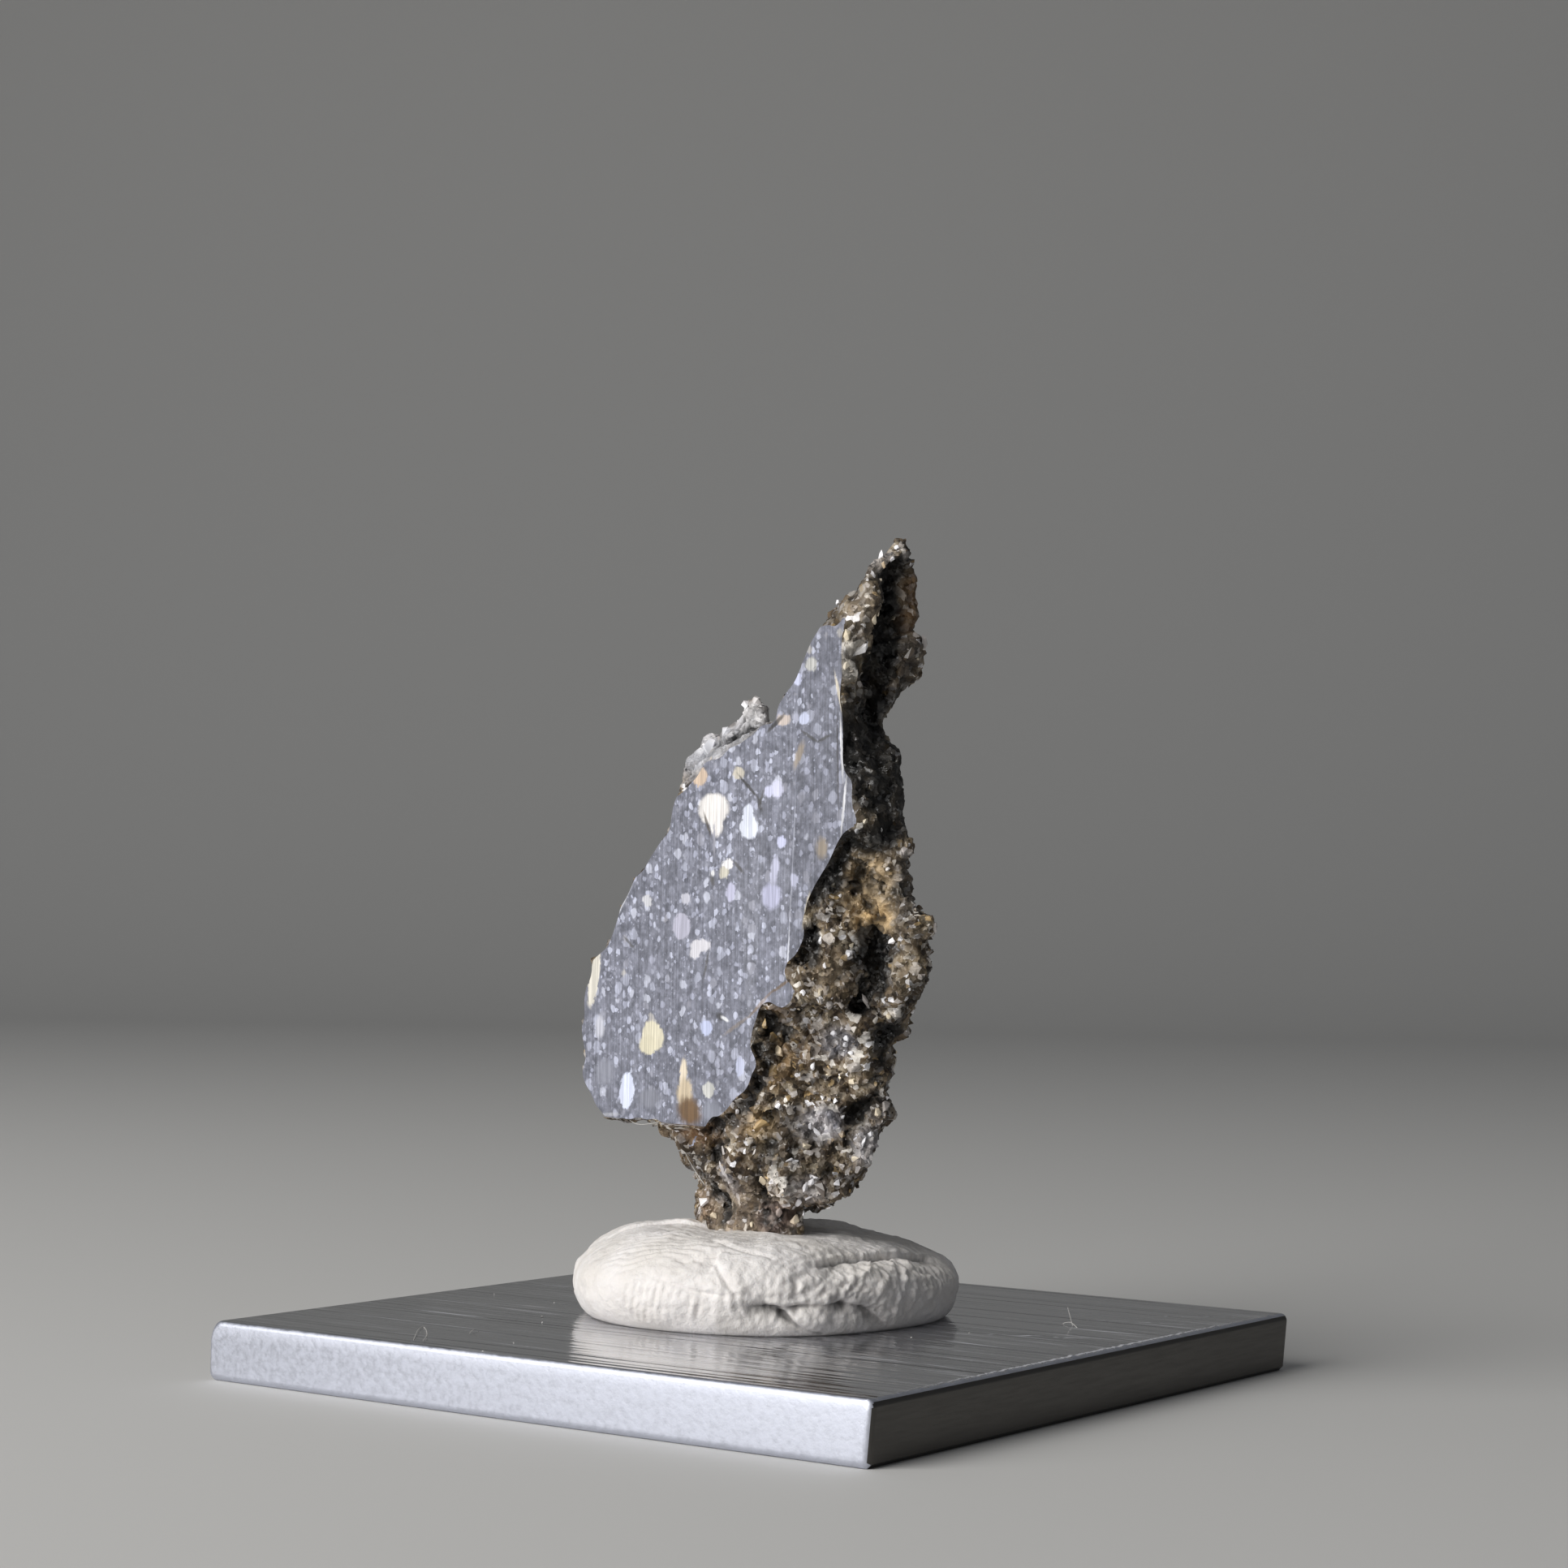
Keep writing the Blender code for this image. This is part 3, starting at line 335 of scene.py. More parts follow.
# Larger crystals on the natural side: (across, depth, height), (length, width), tilt to the right, look
CRYSTALS = [
    ((10.4, -0.8, 41.5), (1.25, 0.42), 28, "white"),
    ((10.3, 0.2, 42.2), (0.5, 0.3), 10, "white"),
    ((1.85, -1.6, 35.2), (1.0, 0.5), 15, "grey"),
    ((1.2, -1.8, 34.6), (0.7, 0.45), -30, "white"),
    ((-1.9, -2.3, 32.7), (1.2, 0.8), 30, "white"),
    ((-0.4, -2.2, 33.3), (0.7, 0.5), 50, "white"),
    ((10.9, -0.6, 41.6), (0.45, 0.3), 40, "white"),
    ((10.5, -2.3, 37.1), (1.4, 0.6), -6, "white"),
    ((10.5, -3.1, 37.7), (0.7, 0.5), 0, "cream"),
    ((10.9, -1.3, 40.4), (0.45, 0.35), 0, "cream"),
    ((11.1, -2.0, 39.0), (0.6, 0.35), 20, "cream"),
    ((11.1, -2.2, 38.5), (0.6, 0.35), 0, "cream"),
    ((10.3, -2.6, 35.8), (0.7, 0.5), 60, "cream"),
    ((10.4, -3.0, 36.1), (0.5, 0.35), 20, "cream"),
    ((10.2, -2.0, 35.3), (0.5, 0.3), 0, "grey"),
    ((11.2, 1.4, 37.5), (1.0, 0.45), 35, "grey"),
    ((11.2, 0.4, 36.9), (0.9, 0.5), 30, "brown"),
    ((10.7, 0.3, 36.0), (0.8, 0.5), 20, "brown"),
    ((10.2, 0.2, 38.7), (0.3, 0.25), 0, "cream"),
    ((9.5, -1.0, 33.7), (0.6, 0.4), -20, "brown"),
    ((10.3, -2.2, 33.5), (0.5, 0.35), -20, "brown"),
    ((10.7, -2.7, 32.6), (0.4, 0.3), -20, "grey"),
    ((10.0, -0.5, 32.6), (0.35, 0.25), 0, "grey"),
    ((11.8, -2.6, 30.1), (0.35, 0.3), 0, "cream"),
    ((11.8, -2.9, 29.3), (0.5, 0.35), 0, "grey"),
    ((11.5, -3.1, 28.0), (0.35, 0.25), 0, "white"),
    ((12.4, -0.9, 27.1), (0.6, 0.4), 0, "grey"),
    ((11.7, -1.3, 26.1), (0.25, 0.25), 0, "white"),
    ((11.2, -0.4, 22.6), (0.9, 0.35), 70, "white"),
    ((13.1, 0.1, 23.3), (0.6, 0.4), 20, "grey"),
    ((12.9, -0.4, 22.9), (0.5, 0.3), 60, "grey"),
    ((8.5, -3.0, 22.5), (0.45, 0.3), 20, "white"),
    ((9.4, -2.8, 25.2), (0.5, 0.25), 80, "cream"),
    ((9.3, -2.7, 24.7), (0.7, 0.3), 100, "gold"),
    ((9.8, -1.9, 22.3), (0.35, 0.25), 0, "cream"),
    ((9.6, -1.9, 21.8), (0.35, 0.25), 40, "white"),
    ((9.6, -1.2, 21.5), (0.3, 0.25), 0, "white"),
    ((8.8, -2.7, 21.3), (0.35, 0.3), 0, "white"),
    ((8.5, -2.8, 20.9), (0.3, 0.3), 0, "cream"),
    ((10.4, -0.2, 22.0), (0.5, 0.4), 0, "grey"),
    ((12.1, -0.1, 20.2), (0.32, 0.3), 45, "white"),
    ((10.3, -0.1, 19.6), (0.5, 0.35), 0, "white"),
    ((9.1, -0.1, 19.4), (1.4, 0.28), 15, "grey"),
    ((10.3, 0.2, 18.8), (0.45, 0.3), 0, "cream"),
    ((6.2, -2.6, 19.0), (0.5, 0.35), 70, "white"),
    ((7.3, -3.0, 19.9), (0.35, 0.3), 0, "white"),
    ((4.6, -2.9, 18.3), (0.6, 0.3), 0, "gold"),
    ((4.7, -2.7, 17.8), (0.7, 0.5), 0, "gold"),
    ((8.2, -2.5, 20.0), (0.5, 0.35), 20, "cream"),
    ((8.1, -1.9, 19.4), (0.6, 0.4), 0, "grey"),
    ((7.6, -1.1, 17.9), (0.4, 0.35), 0, "white"),
    ((8.0, -0.5, 17.6), (0.45, 0.35), 0, "white"),
    ((7.5, -0.8, 17.4), (0.4, 0.3), 0, "grey"),
    ((4.9, -2.4, 16.8), (0.8, 0.5), 0, "cream"),
    ((4.9, -2.7, 15.9), (1.0, 0.6), 0, "gold"),
    ((5.6, -2.1, 16.3), (0.6, 0.5), 0, "gold"),
    ((6.4, -1.4, 16.1), (0.5, 0.3), 0, "white"),
    ((8.0, -0.3, 16.9), (0.4, 0.3), 0, "white"),
    ((7.8, -0.5, 17.3), (0.35, 0.3), 0, "white"),
    ((6.8, -0.7, 15.6), (0.5, 0.2), 80, "cream"),
    ((7.2, -0.4, 15.5), (0.5, 0.2), 100, "cream"),
    ((6.6, -0.6, 13.4), (0.7, 0.28), 10, "grey"),
    ((5.8, -0.9, 13.1), (0.5, 0.3), 30, "white"),
    ((6.1, -0.8, 12.8), (0.55, 0.3), -30, "white"),
    ((5.3, -1.2, 13.1), (0.35, 0.2), 90, "white"),
    ((6.4, -0.8, 14.5), (0.35, 0.25), 0, "white"),
    ((6.8, -0.6, 14.5), (0.3, 0.25), 0, "grey"),
    ((7.0, -0.4, 14.4), (0.35, 0.25), 0, "white"),
    ((4.7, -1.8, 12.7), (0.7, 0.6), 0, "brown"),
    ((4.8, -2.3, 14.1), (0.4, 0.25), 60, "white"),
    ((3.6, -2.4, 13.0), (1.0, 0.7), 60, "gold"),
    ((2.4, -3.1, 13.7), (0.3, 0.25), 0, "white"),
    ((5.7, -1.1, 12.1), (0.8, 0.5), 60, "cream"),
    ((8.2, 0.7, 12.4), (0.7, 0.45), 30, "white"),
    ((8.2, 1.0, 12.7), (0.4, 0.3), 0, "white"),
    ((7.8, 0.4, 11.5), (0.6, 0.3), 80, "cream"),
    ((7.8, 0.4, 11.0), (0.5, 0.35), 30, "grey"),
    ((9.1, 1.0, 14.3), (0.7, 0.45), 20, "grey"),
    ((8.9, 0.9, 13.9), (0.6, 0.4), 0, "cream"),
    ((7.3, 0.2, 13.6), (0.3, 0.2), 60, "white"),
    ((5.1, -1.8, 11.3), (0.55, 0.22), 70, "white"),
    ((2.7, -2.7, 11.7), (0.55, 0.18), 20, "white"),
    ((3.2, -2.5, 11.7), (0.5, 0.15), 20, "grey"),
    ((3.4, -2.1, 10.2), (0.8, 0.38), -25, "cream"),
    ((5.3, -0.9, 10.0), (0.8, 0.35), 10, "white"),
    ((5.6, -0.7, 10.3), (0.55, 0.35), 30, "white"),
    ((5.0, -0.4, 9.4), (0.55, 0.25), 60, "white"),
    ((4.4, -0.5, 9.1), (0.6, 0.35), 20, "white"),
    ((6.9, -0.1, 10.3), (0.45, 0.35), 0, "white"),
    ((6.0, -0.4, 9.9), (1.0, 0.8), 0, "brown"),
    ((3.8, -0.3, 8.2), (0.6, 0.5), 0, "cream"),
    ((3.5, -1.0, 8.5), (0.9, 0.35), -20, "grey"),
    ((4.1, 0.2, 8.5), (0.45, 0.25), 0, "white"),
    ((-0.8, -2.4, 8.9), (0.5, 0.75), 0, "white"),
    ((-0.3, -2.3, 8.1), (0.5, 0.45), 0, "cream"),
    ((0.9, -2.0, 7.9), (0.35, 0.5), 0, "grey"),
    ((-2.4, -1.6, 8.1), (1.0, 0.3), 0, "grey"),
    ((2.3, -1.8, 7.9), (0.35, 0.3), 0, "cream"),
    ((1.0, -2.9, 11.5), (0.8, 0.2), -30, "grey"),
    ((1.3, -2.8, 10.7), (1.0, 0.28), -25, "grey"),
    ((1.3, -2.4, 10.0), (1.0, 0.4), -30, "grey"),
    ((1.5, -2.1, 9.3), (1.0, 0.45), -35, "grey"),
]

# Lint: hairs as points in the plate's directions, and dust specks as places on the plate
LINT_RADIUS = 0.018
LINT_STEPS = 6
LINT_SIDES = 5
LINT_END_SHARE = 0.35
# No hair runs along this direction, so it serves to find each hair's own sideways
LINT_SIDEWAYS = Vector((0.3, 0.5, 0.8))
LINT_HAIRS = [
    [(-7.2, -19.0, 3.02), (-9.4, -16.2, 3.1), (-10.0, -15.1, 3.02), (-7.5, -17.7, 3.15),
     (-6.7, -18.9, 3.02)],
    [(-6.8, -15.4, 3.02), (-7.2, -14.6, 3.12), (-7.2, -14.2, 3.02)],
    [(14.1, 7.3, 3.02), (14.0, 7.2, 3.5), (13.9, 7.1, 4.0)],
    [(13.2, 7.8, 3.05), (13.9, 7.4, 3.2), (14.6, 6.9, 3.02)],
]
# Hairs that cling to the stone, in its own directions
STONE_HAIRS = [
    [(-4.46, -2.2, 12.66), (-3.75, -2.3, 12.19), (-3.18, -2.3, 11.72), (-2.47, -2.3, 10.91),
     (-1.77, -2.4, 10.37), (-0.8, -2.5, 9.68)],
    [(-6.75, -3.1, 12.81), (-5.67, -3.2, 12.57), (-4.13, -3.2, 12.75), (-3.17, -3.2, 13.1)],
]
DUST_CORNERS = 8
DUST_SEED = 3
DUST_SIZES = (0.1, 0.22)
DUST_SHAPE = (1.0, 0.7, 0.5)
DUST_LIFT = 0.15
DUST_SPECKS = [
    (-11.7, -2.9), (-8.3, -8.0), (-6.9, -9.7), (-3.1, -16.4), (-2.3, -19.6), (-16.4, -2.3), (11.5, 1.5),
    (19.2, -1.4), (10.3, -2.0), (11.1, 5.8), (18.3, 5.7),
]

# Putty folds and dents, in the directions of its fall: (along, away, height), radius, push
PUTTY_MARKS = [
    ((-0.2, -10.0, 4.8), 0.8, -0.35),
    ((2.0, -9.8, 4.9), 0.8, -0.35),
    ((4.0, -9.0, 4.6), 0.8, -0.3),
    ((5.6, -8.2, 4.0), 0.8, -0.3),
    ((2.6, -9.6, 4.0), 1.1, 0.35),
    ((3.4, -8.6, 6.6), 1.0, -0.25),
    ((6.0, -7.6, 6.0), 1.2, 0.3),
    ((8.6, -3.8, 5.4), 1.3, -0.25),
    ((-5.0, -8.4, 5.0), 1.8, 0.15),
]
PUTTY_RELIEF = [(2.6, 0.2, 5.0), (0.9, 0.07, 17.0), (0.4, 0.045, 27.0)]
# Crumpled skin with sharp little ridges: centre, radii, (grain, height, place in the noise)
PUTTY_CRUMPLES = [
    ((5.2, -7.4, 5.2), (5.4, 5.0, 2.4), [(1.1, 0.1, 3.0), (0.5, 0.12, 9.0), (0.26, 0.07, 15.0)]),
    ((8.2, -4.2, 5.0), (2.6, 4.4, 2.4), [(0.8, 0.1, 51.0), (0.35, 0.07, 57.0)]),
    ((-3.0, -8.8, 4.8), (6.0, 4.0, 2.2), [(0.8, 0.06, 21.0), (0.4, 0.05, 33.0)]),
    ((0.0, 6.0, 5.5), (12.0, 6.0, 3.0), [(1.0, 0.08, 39.0), (0.4, 0.05, 45.0)]),
]
# Thin creases that end in the star on the front: points, width, depth
PUTTY_CREASES = [
    ([(-5.6, -8.2, 5.8), (-4.3, -9.1, 5.5), (-3.5, -9.4, 5.2), (-2.3, -9.9, 5.1),
      (0.3, -10.0, 4.6)], 0.1, 0.16),
    ([(-2.3, -9.0, 6.6), (-1.8, -9.8, 5.8), (-1.3, -10.1, 5.2), (0.3, -10.0, 4.6)], 0.1, 0.2),
    ([(0.3, -10.0, 4.6), (2.1, -9.9, 4.6), (4.1, -9.0, 4.7), (5.1, -8.2, 4.5), (5.8, -7.6, 4.1),
      (6.2, -6.7, 3.5)], 0.12, 0.4),
    ([(0.3, -10.0, 4.6), (0.8, -10.0, 4.4), (1.2, -10.0, 4.0), (1.9, -9.6, 3.5),
      (3.0, -8.9, 3.2)], 0.18, 0.75),
    ([(1.0, -10.0, 4.1), (0.7, -9.8, 3.6), (0.5, -9.5, 3.2)], 0.12, 0.25),
    ([(-2.5, -6.8, 7.5), (-1.6, -7.9, 7.3), (-0.7, -8.5, 7.1), (0.5, -9.0, 6.8)], 0.12, 0.16),
    ([(3.6, -7.7, 6.7), (4.5, -6.7, 6.7), (5.3, -6.1, 6.7), (6.0, -5.1, 6.7), (6.9, -4.5, 6.5)], 0.16, 0.32),
]
# Steps, where the putty on the left of the line's run stands above the rest: points, height, reach
PUTTY_STEPS = [
    ([(-3.9, -8.2, 6.9), (-2.9, -8.3, 7.0), (-2.0, -8.3, 7.0), (-2.3, -8.9, 6.6)], 0.24, 0.7),
    ([(3.4, -7.8, 6.6), (4.5, -6.7, 6.7), (5.3, -6.1, 6.7), (6.7, -4.2, 6.7), (8.2, -1.8, 6.3)], 0.34, 0.8),
    ([(0.3, -10.0, 4.6), (2.1, -9.9, 4.6), (4.1, -9.0, 4.7), (5.1, -8.2, 4.5), (6.2, -6.7, 3.5)], 0.32, 0.8),
    ([(3.6, -0.6, 7.4), (-3.6, -1.1, 7.5), (-4.2, -0.4, 7.6), (-5.1, -0.3, 7.6),
      (-6.3, -0.4, 7.4)], -0.18, 1.6),
]
# Ridges with a sharp crest, where the putty was dragged: points, width, height
PUTTY_CRESTS = [
    ([(5.1, -6.2, 6.7), (5.4, -7.0, 6.4), (5.2, -7.9, 6.0), (4.1, -8.7, 5.6), (3.0, -9.4, 5.2),
      (2.3, -9.7, 4.9)], 0.16, 0.2),
    ([(3.3, -8.3, 6.4), (2.1, -9.6, 5.7), (1.3, -10.0, 5.1)], 0.14, 0.12),
    ([(2.3, -8.6, 6.7), (1.3, -9.7, 6.0), (0.6, -10.0, 5.3)], 0.14, 0.1),
    ([(6.6, -4.8, 6.6), (6.5, -6.3, 6.1), (6.1, -7.3, 5.5)], 0.16, 0.14),
    ([(7.5, -4.4, 6.2), (7.1, -6.4, 5.4), (6.7, -7.0, 4.6), (6.6, -6.6, 3.6)], 0.18, 0.22),
    ([(8.2, -4.0, 5.8), (7.9, -5.6, 5.0), (7.4, -6.1, 4.2)], 0.16, 0.12),
    ([(9.0, -2.4, 5.7), (8.7, -4.2, 4.8), (8.3, -4.7, 3.8)], 0.18, 0.1),
]
# Finger prints: centre, radii, direction across the ridges, pitch, height, wander
PUTTY_PRINTS = [
    ((-4.4, -6.2, 6.9), (4.2, 3.6, 1.5), (0.15, 0.5, 0.85), 0.44, 0.05, 1.2),
    ((1.2, -6.6, 7.4), (4.2, 2.6, 1.2), (0.0, 0.7, 0.7), 0.42, 0.04, 1.2),
    ((-5.0, -8.6, 4.5), (2.6, 2.6, 1.2), (0.88, -0.47, 0.0), 0.5, 0.06, 0.9),
    ((-1.6, -9.6, 4.3), (1.6, 1.6, 1.0), (0.99, -0.1, 0.25), 0.55, 0.06, 0.9),
    ((2.6, -9.2, 5.8), (2.4, 2.0, 1.1), (-0.64, 0.0, 0.77), 0.55, 0.07, 1.2),
    ((7.9, -4.6, 5.1), (2.4, 3.4, 1.8), (0.5, 0.6, -0.6), 0.6, 0.08, 1.3),
    ((6.0, 4.0, 6.0), (6.0, 6.0, 3.0), (0.3, -0.9, 0.3), 0.48, 0.035, 1.0),
    ((-4.0, 7.0, 5.0), (6.0, 4.0, 3.0), (0.2, 0.2, 0.95), 0.48, 0.04, 1.0),
]
PRINT_DRIFT_SIZE = 2.4
PRINT_PRESSURE = 0.75
PRINT_PATCHES = (1.1, 1.1)
# Crumbly skin low on the front: centre, radii, (grain, height, place in the noise)
PUTTY_CRUMBS = ((2.8, -8.6, 4.6), (5.5, 5.0, 1.9), [(0.32, 0.1, 41.0)])
PUTTY_STEP_EDGE = 0.06

# Camera, from the photograph's viewing angle
CAMERA_PLACE = (0.09481392, -0.13294327, 0.023565)
CAMERA_RIGHT = (0.81637235, 0.57730742, 0.01588463)
CAMERA_UP = (0.01186541, -0.04426505, 0.99894936)
CAMERA_BACK = (0.57740401, -0.81532616, -0.04298675)
CAMERA_LENS = 72.0
CAMERA_SENSOR = 36.0
CAMERA_NEAREST = 0.01

# Light
KEY_PLACE = (-0.125, -0.39, 0.23)
KEY_SIZE = (0.36, 0.48)
KEY_POWER = 2.85
KEY_TINT = (1.0, 0.99, 0.98)
LIGHT_TARGET = (0.0, 0.0, 0.02)
WORLD_STRENGTH = 0.17

# Studio floor, in metres from the object: near end, start of the bend, the bend's radius, top
FLOOR_NEAR = -1.2
FLOOR_BEND = 0.5
FLOOR_RADIUS = 0.3
FLOOR_STEPS = 12
FLOOR_TOP = 1.6
FLOOR_HALF_WIDTH = 1.5


# Shape helpers

def interpolate(profile, height):
    """The profile's values at a height, in straight runs between its points."""
    if height <= profile[0][0]:
        return profile[0][1:]
    for low, high in zip(profile, profile[1:]):
        if height <= high[0]:
            share = (height - low[0]) / (high[0] - low[0])
            return tuple(a + (b - a) * share for a, b in zip(low[1:], high[1:]))
    return profile[-1][1:]


def curve_point(p0, p1, p2, p3, t):
    """The point at share t of the way from p1 to p2 on a Catmull-Rom curve."""
    bend = (2 * p1 + (p2 - p0) * t + (2 * p0 - 5 * p1 + 4 * p2 - p3) * t ** 2
            + (3 * p1 - p0 - 3 * p2 + p3) * t ** 3)
    return bend / 2


def closed_curve(points, count):
    """A closed curve through the points, as count points."""
    total = len(points)
    curve = []
    for index in range(count):
        position = index * total / count
        start = int(position)
        around = [Vector(points[(start + k) % total]) for k in (-1, 0, 1, 2)]
        curve.append(curve_point(*around, position - start))
    return curve


def stone_outline(height):
    """The stone's level outline before it was sawn, as (across, depth) points."""
    left, left_depth = interpolate(LEFT_EDGE, height)
    right, right_depth = interpolate(RIGHT_EDGE, height)
    ridge, ridge_depth = interpolate(RIGHT_RIDGE, height)
    front, inset = interpolate(FRONT, height)
    (back,) = interpolate(BACK, height)
    taken = inset * (right - left)
    shoulder = SHOULDER_SHARE * (back - ridge_depth)
    step, run = SHOULDER_RUN
    corners = [
        (left, left_depth),
        (left + taken, front),
        (right - taken, front),
        (right, right_depth),
        (right + SIDE_CORNER * (ridge - right), right_depth + SIDE_CORNER * (ridge_depth - right_depth)),
        (ridge, ridge_depth),
        (ridge - step - run * shoulder, ridge_depth + shoulder),
    ]
    for across, depth in BACK_CORNERS:
        corners.append((left + across * (ridge - left), left_depth + depth * (back - left_depth)))
    return closed_curve(corners, RING_POINTS)


def bridge(bm, rows):
    """Joins closed rows of vertices, each to the next."""
    for first, second in zip(rows, rows[1:]):
        for index in range(len(first)):
            following = (index + 1) % len(first)
            bm.faces.new((first[index], first[following], second[following], second[index]))


def tube(bm, rows):
    """Joins closed rows of vertices, and closes each end with one face."""
    bridge(bm, rows)
    for row in (rows[0], rows[-1]):
        bm.faces.new(row)


def loft(rings):
    """A closed mesh through rings of points, with a fan over each end."""
    bm = bmesh.new()
    rows = [[bm.verts.new(point) for point in ring] for ring in rings]
    bridge(bm, rows)
    for row, flip in ((rows[0], True), (rows[-1], False)):
        hub = bm.verts.new(sum((vert.co for vert in row), Vector()) / len(row))
        for index in range(len(row)):
            pair = (row[index], row[(index + 1) % len(row)])
            bm.faces.new((hub, *(reversed(pair) if flip else pair)))
    bmesh.ops.recalc_face_normals(bm, faces=bm.faces)
    return bm


def make_object(name, bm):
    mesh = bpy.data.meshes.new(name)
    bm.to_mesh(mesh)
    bm.free()
    obj = bpy.data.objects.new(name, mesh)
    bpy.context.scene.collection.objects.link(obj)
    return obj


def apply_modifiers(obj):
    depsgraph = bpy.context.evaluated_depsgraph_get()
    depsgraph.update()
    mesh = bpy.data.meshes.new_from_object(obj.evaluated_get(depsgraph))
    obj.modifiers.clear()
    obj.data = mesh


def combine(obj, other, operation="DIFFERENCE"):
    """Cuts the other solid out of the object, or joins it on, and removes the other."""
    step = obj.modifiers.new("combine", "BOOLEAN")
    step.operation = operation
    step.solver = "EXACT"
    step.object = other
    apply_modifiers(obj)
    bpy.data.objects.remove(other)


def read_points(mesh, what="co"):
    values = np.empty(len(mesh.vertices) * 3)
    mesh.vertices.foreach_get(what, values)
    return values.reshape(-1, 3)


def write_points(mesh, points):
    mesh.vertices.foreach_set("co", points.ravel())
    mesh.update()


def marks_push(points, marks):
    push = np.zeros(len(points))
    for centre, radius, height in marks:
        reach = np.sum((points - centre) ** 2, axis=1) / radius ** 2
        push += height * np.exp(-reach)
    return push


def noise_push(points, relief):
    push = np.zeros(len(points))
    for size, height, seed in relief:
        shift = Vector((seed, 0, 0))
        push += [height * noise.noise(Vector(point) / size + shift) for point in points]
    return push


def ridge_push(points, relief):
    """Sharp crested ridges with rounded hollows between them."""
    push = np.zeros(len(points))
    for size, height, seed in relief:
        shift = Vector((0, seed, 0))
        swells = [noise.noise(Vector(point) / size + shift) for point in points]
        push += height * (RIDGE_LEVEL - RIDGE_FALL * np.abs(swells))
    return push


def facet_push(points, cell, lean):
    """Broken crystal faces: each cell of the stone is a small plane that leans its own way."""
    push = np.empty(len(points))
    for index, point in enumerate(points):
        place = Vector(point) / cell
        centre = noise.voronoi(place)[1][0]
        direction = noise.cell_vector(centre * CELL_SPREAD) - Vector((0.5, 0.5, 0.5))
        push[index] = (place - centre).dot(direction) * 2 * lean * cell
    return push


def ease(values, low, high):
    """0 below low, 1 above high, and a smooth step between them."""
    share = np.clip((values - low) / (high - low), 0, 1)
    return share * share * (3 - 2 * share)


def near_line(points, normals, line):
    """Each point's distance to a line of points, and how far to the left of its run the point is."""
    nearest = np.full(len(points), np.inf)
    side = np.zeros(len(points))
    for first, second in zip(line, line[1:]):
        run = np.subtract(second, first)
        offset = points - first
        share = np.clip(offset @ run / (run @ run), 0, 1)
        gap = offset - share[:, None] * run
        distance = np.linalg.norm(gap, axis=1)
        left = np.einsum("ij,ij->i", np.cross(run, gap), normals) / np.linalg.norm(run)
        closer = distance < nearest
        nearest = np.where(closer, distance, nearest)
        side = np.where(closer, left, side)
    return nearest, side


def inside_share(points, centre, radii):
    """1 well inside an ellipsoid, 0 well outside it."""
    reach = np.sum(((points - centre) / radii) ** 2, axis=1)
    return np.exp(-reach ** 2)


def print_push(points, centre, radii, direction, pitch, height, wander):
    """The ridges of a finger print, pressed in over a patch."""
    drift = noise_push(points, [(PRINT_DRIFT_SIZE, wander, pitch * 31)])
    phase = ((points - centre) @ np.array(direction) + drift) * 2 * math.pi / pitch
    pressure = PRINT_PRESSURE + noise_push(points, [(*PRINT_PATCHES, pitch * 17)])
    return inside_share(points, centre, radii) * height * pressure * np.sin(phase)


def write_attribute(mesh, name, values):
    """Gives a mesh a number for each vertex."""
    mesh.attributes.new(name, "FLOAT", "POINT").data.foreach_set("value", values)


# Material helpers

def hex_colour(code):
    """An sRGB hex value as linear RGBA."""
    parts = [int(code[start:start + 2], 16) / 255 for start in (1, 3, 5)]
    linear = [part / 12.92 if part <= 0.04045 else ((part + 0.055) / 1.055) ** 2.4 for part in parts]
    return (*linear, 1)


def add(tree, kind, settings=None, inputs=None, output=0):
    """Adds a node, sets its properties, sets or links its inputs, and gives one of its outputs."""
    made = tree.nodes.new(kind)
    for name, value in (settings or {}).items():
        setattr(made, name, value)
    for key, value in (inputs or {}).items():
        if isinstance(value, bpy.types.NodeSocket):
            tree.links.new(value, made.inputs[key])
        else:
            made.inputs[key].default_value = value
    return made.outputs[output]


def new_material(name):
    """An empty material and its node tree."""
    made = bpy.data.materials.new(name)
    made.use_nodes = True
    made.node_tree.nodes.clear()
    return made, made.node_tree


def finish_material(made, inputs):
    """Ends a material in a principled shader with the given inputs."""
    tree = made.node_tree
    shader = add(tree, "ShaderNodeBsdfPrincipled", inputs=inputs)
    ending = tree.nodes.new("ShaderNodeOutputMaterial")
    tree.links.new(shader, ending.inputs["Surface"])
    return made


def calculate(tree, operation, *values):
    return add(tree, "ShaderNodeMath", {"operation": operation}, dict(enumerate(values)))


def vector_math(tree, operation, *values, output=0):
    return add(tree, "ShaderNodeVectorMath", {"operation": operation}, dict(enumerate(values)), output)


def scaled(tree, colour, factor):
    return add(tree, "ShaderNodeVectorMath", {"operation": "SCALE"}, {0: colour, "Scale": factor})


def stretched(tree, place, scale):
    return add(tree, "ShaderNodeMapping", inputs={"Vector": place, "Scale": scale})


def clouds(tree, place, size, detail, roughness=0.5, output="Fac"):
    """Noise with swells of about the given size in millimetres."""
    return add(tree, "ShaderNodeTexNoise", inputs={
        "Vector": place, "Scale": 1 / size, "Detail": detail, "Roughness": roughness}, output=output)


def cells(tree, place, size, metric="EUCLIDEAN"):
    """Cells of about the given size in millimetres: the outputs of their node."""
    return add(tree, "ShaderNodeTexVoronoi", {"distance": metric}, {
        "Vector": place, "Scale": 1 / size}).node.outputs


def channels(tree, colour):
    return add(tree, "ShaderNodeSeparateColor", inputs={"Color": colour}).node.outputs


def attribute(tree, name):
    return add(tree, "ShaderNodeAttribute", {"attribute_name": name}, output="Fac")


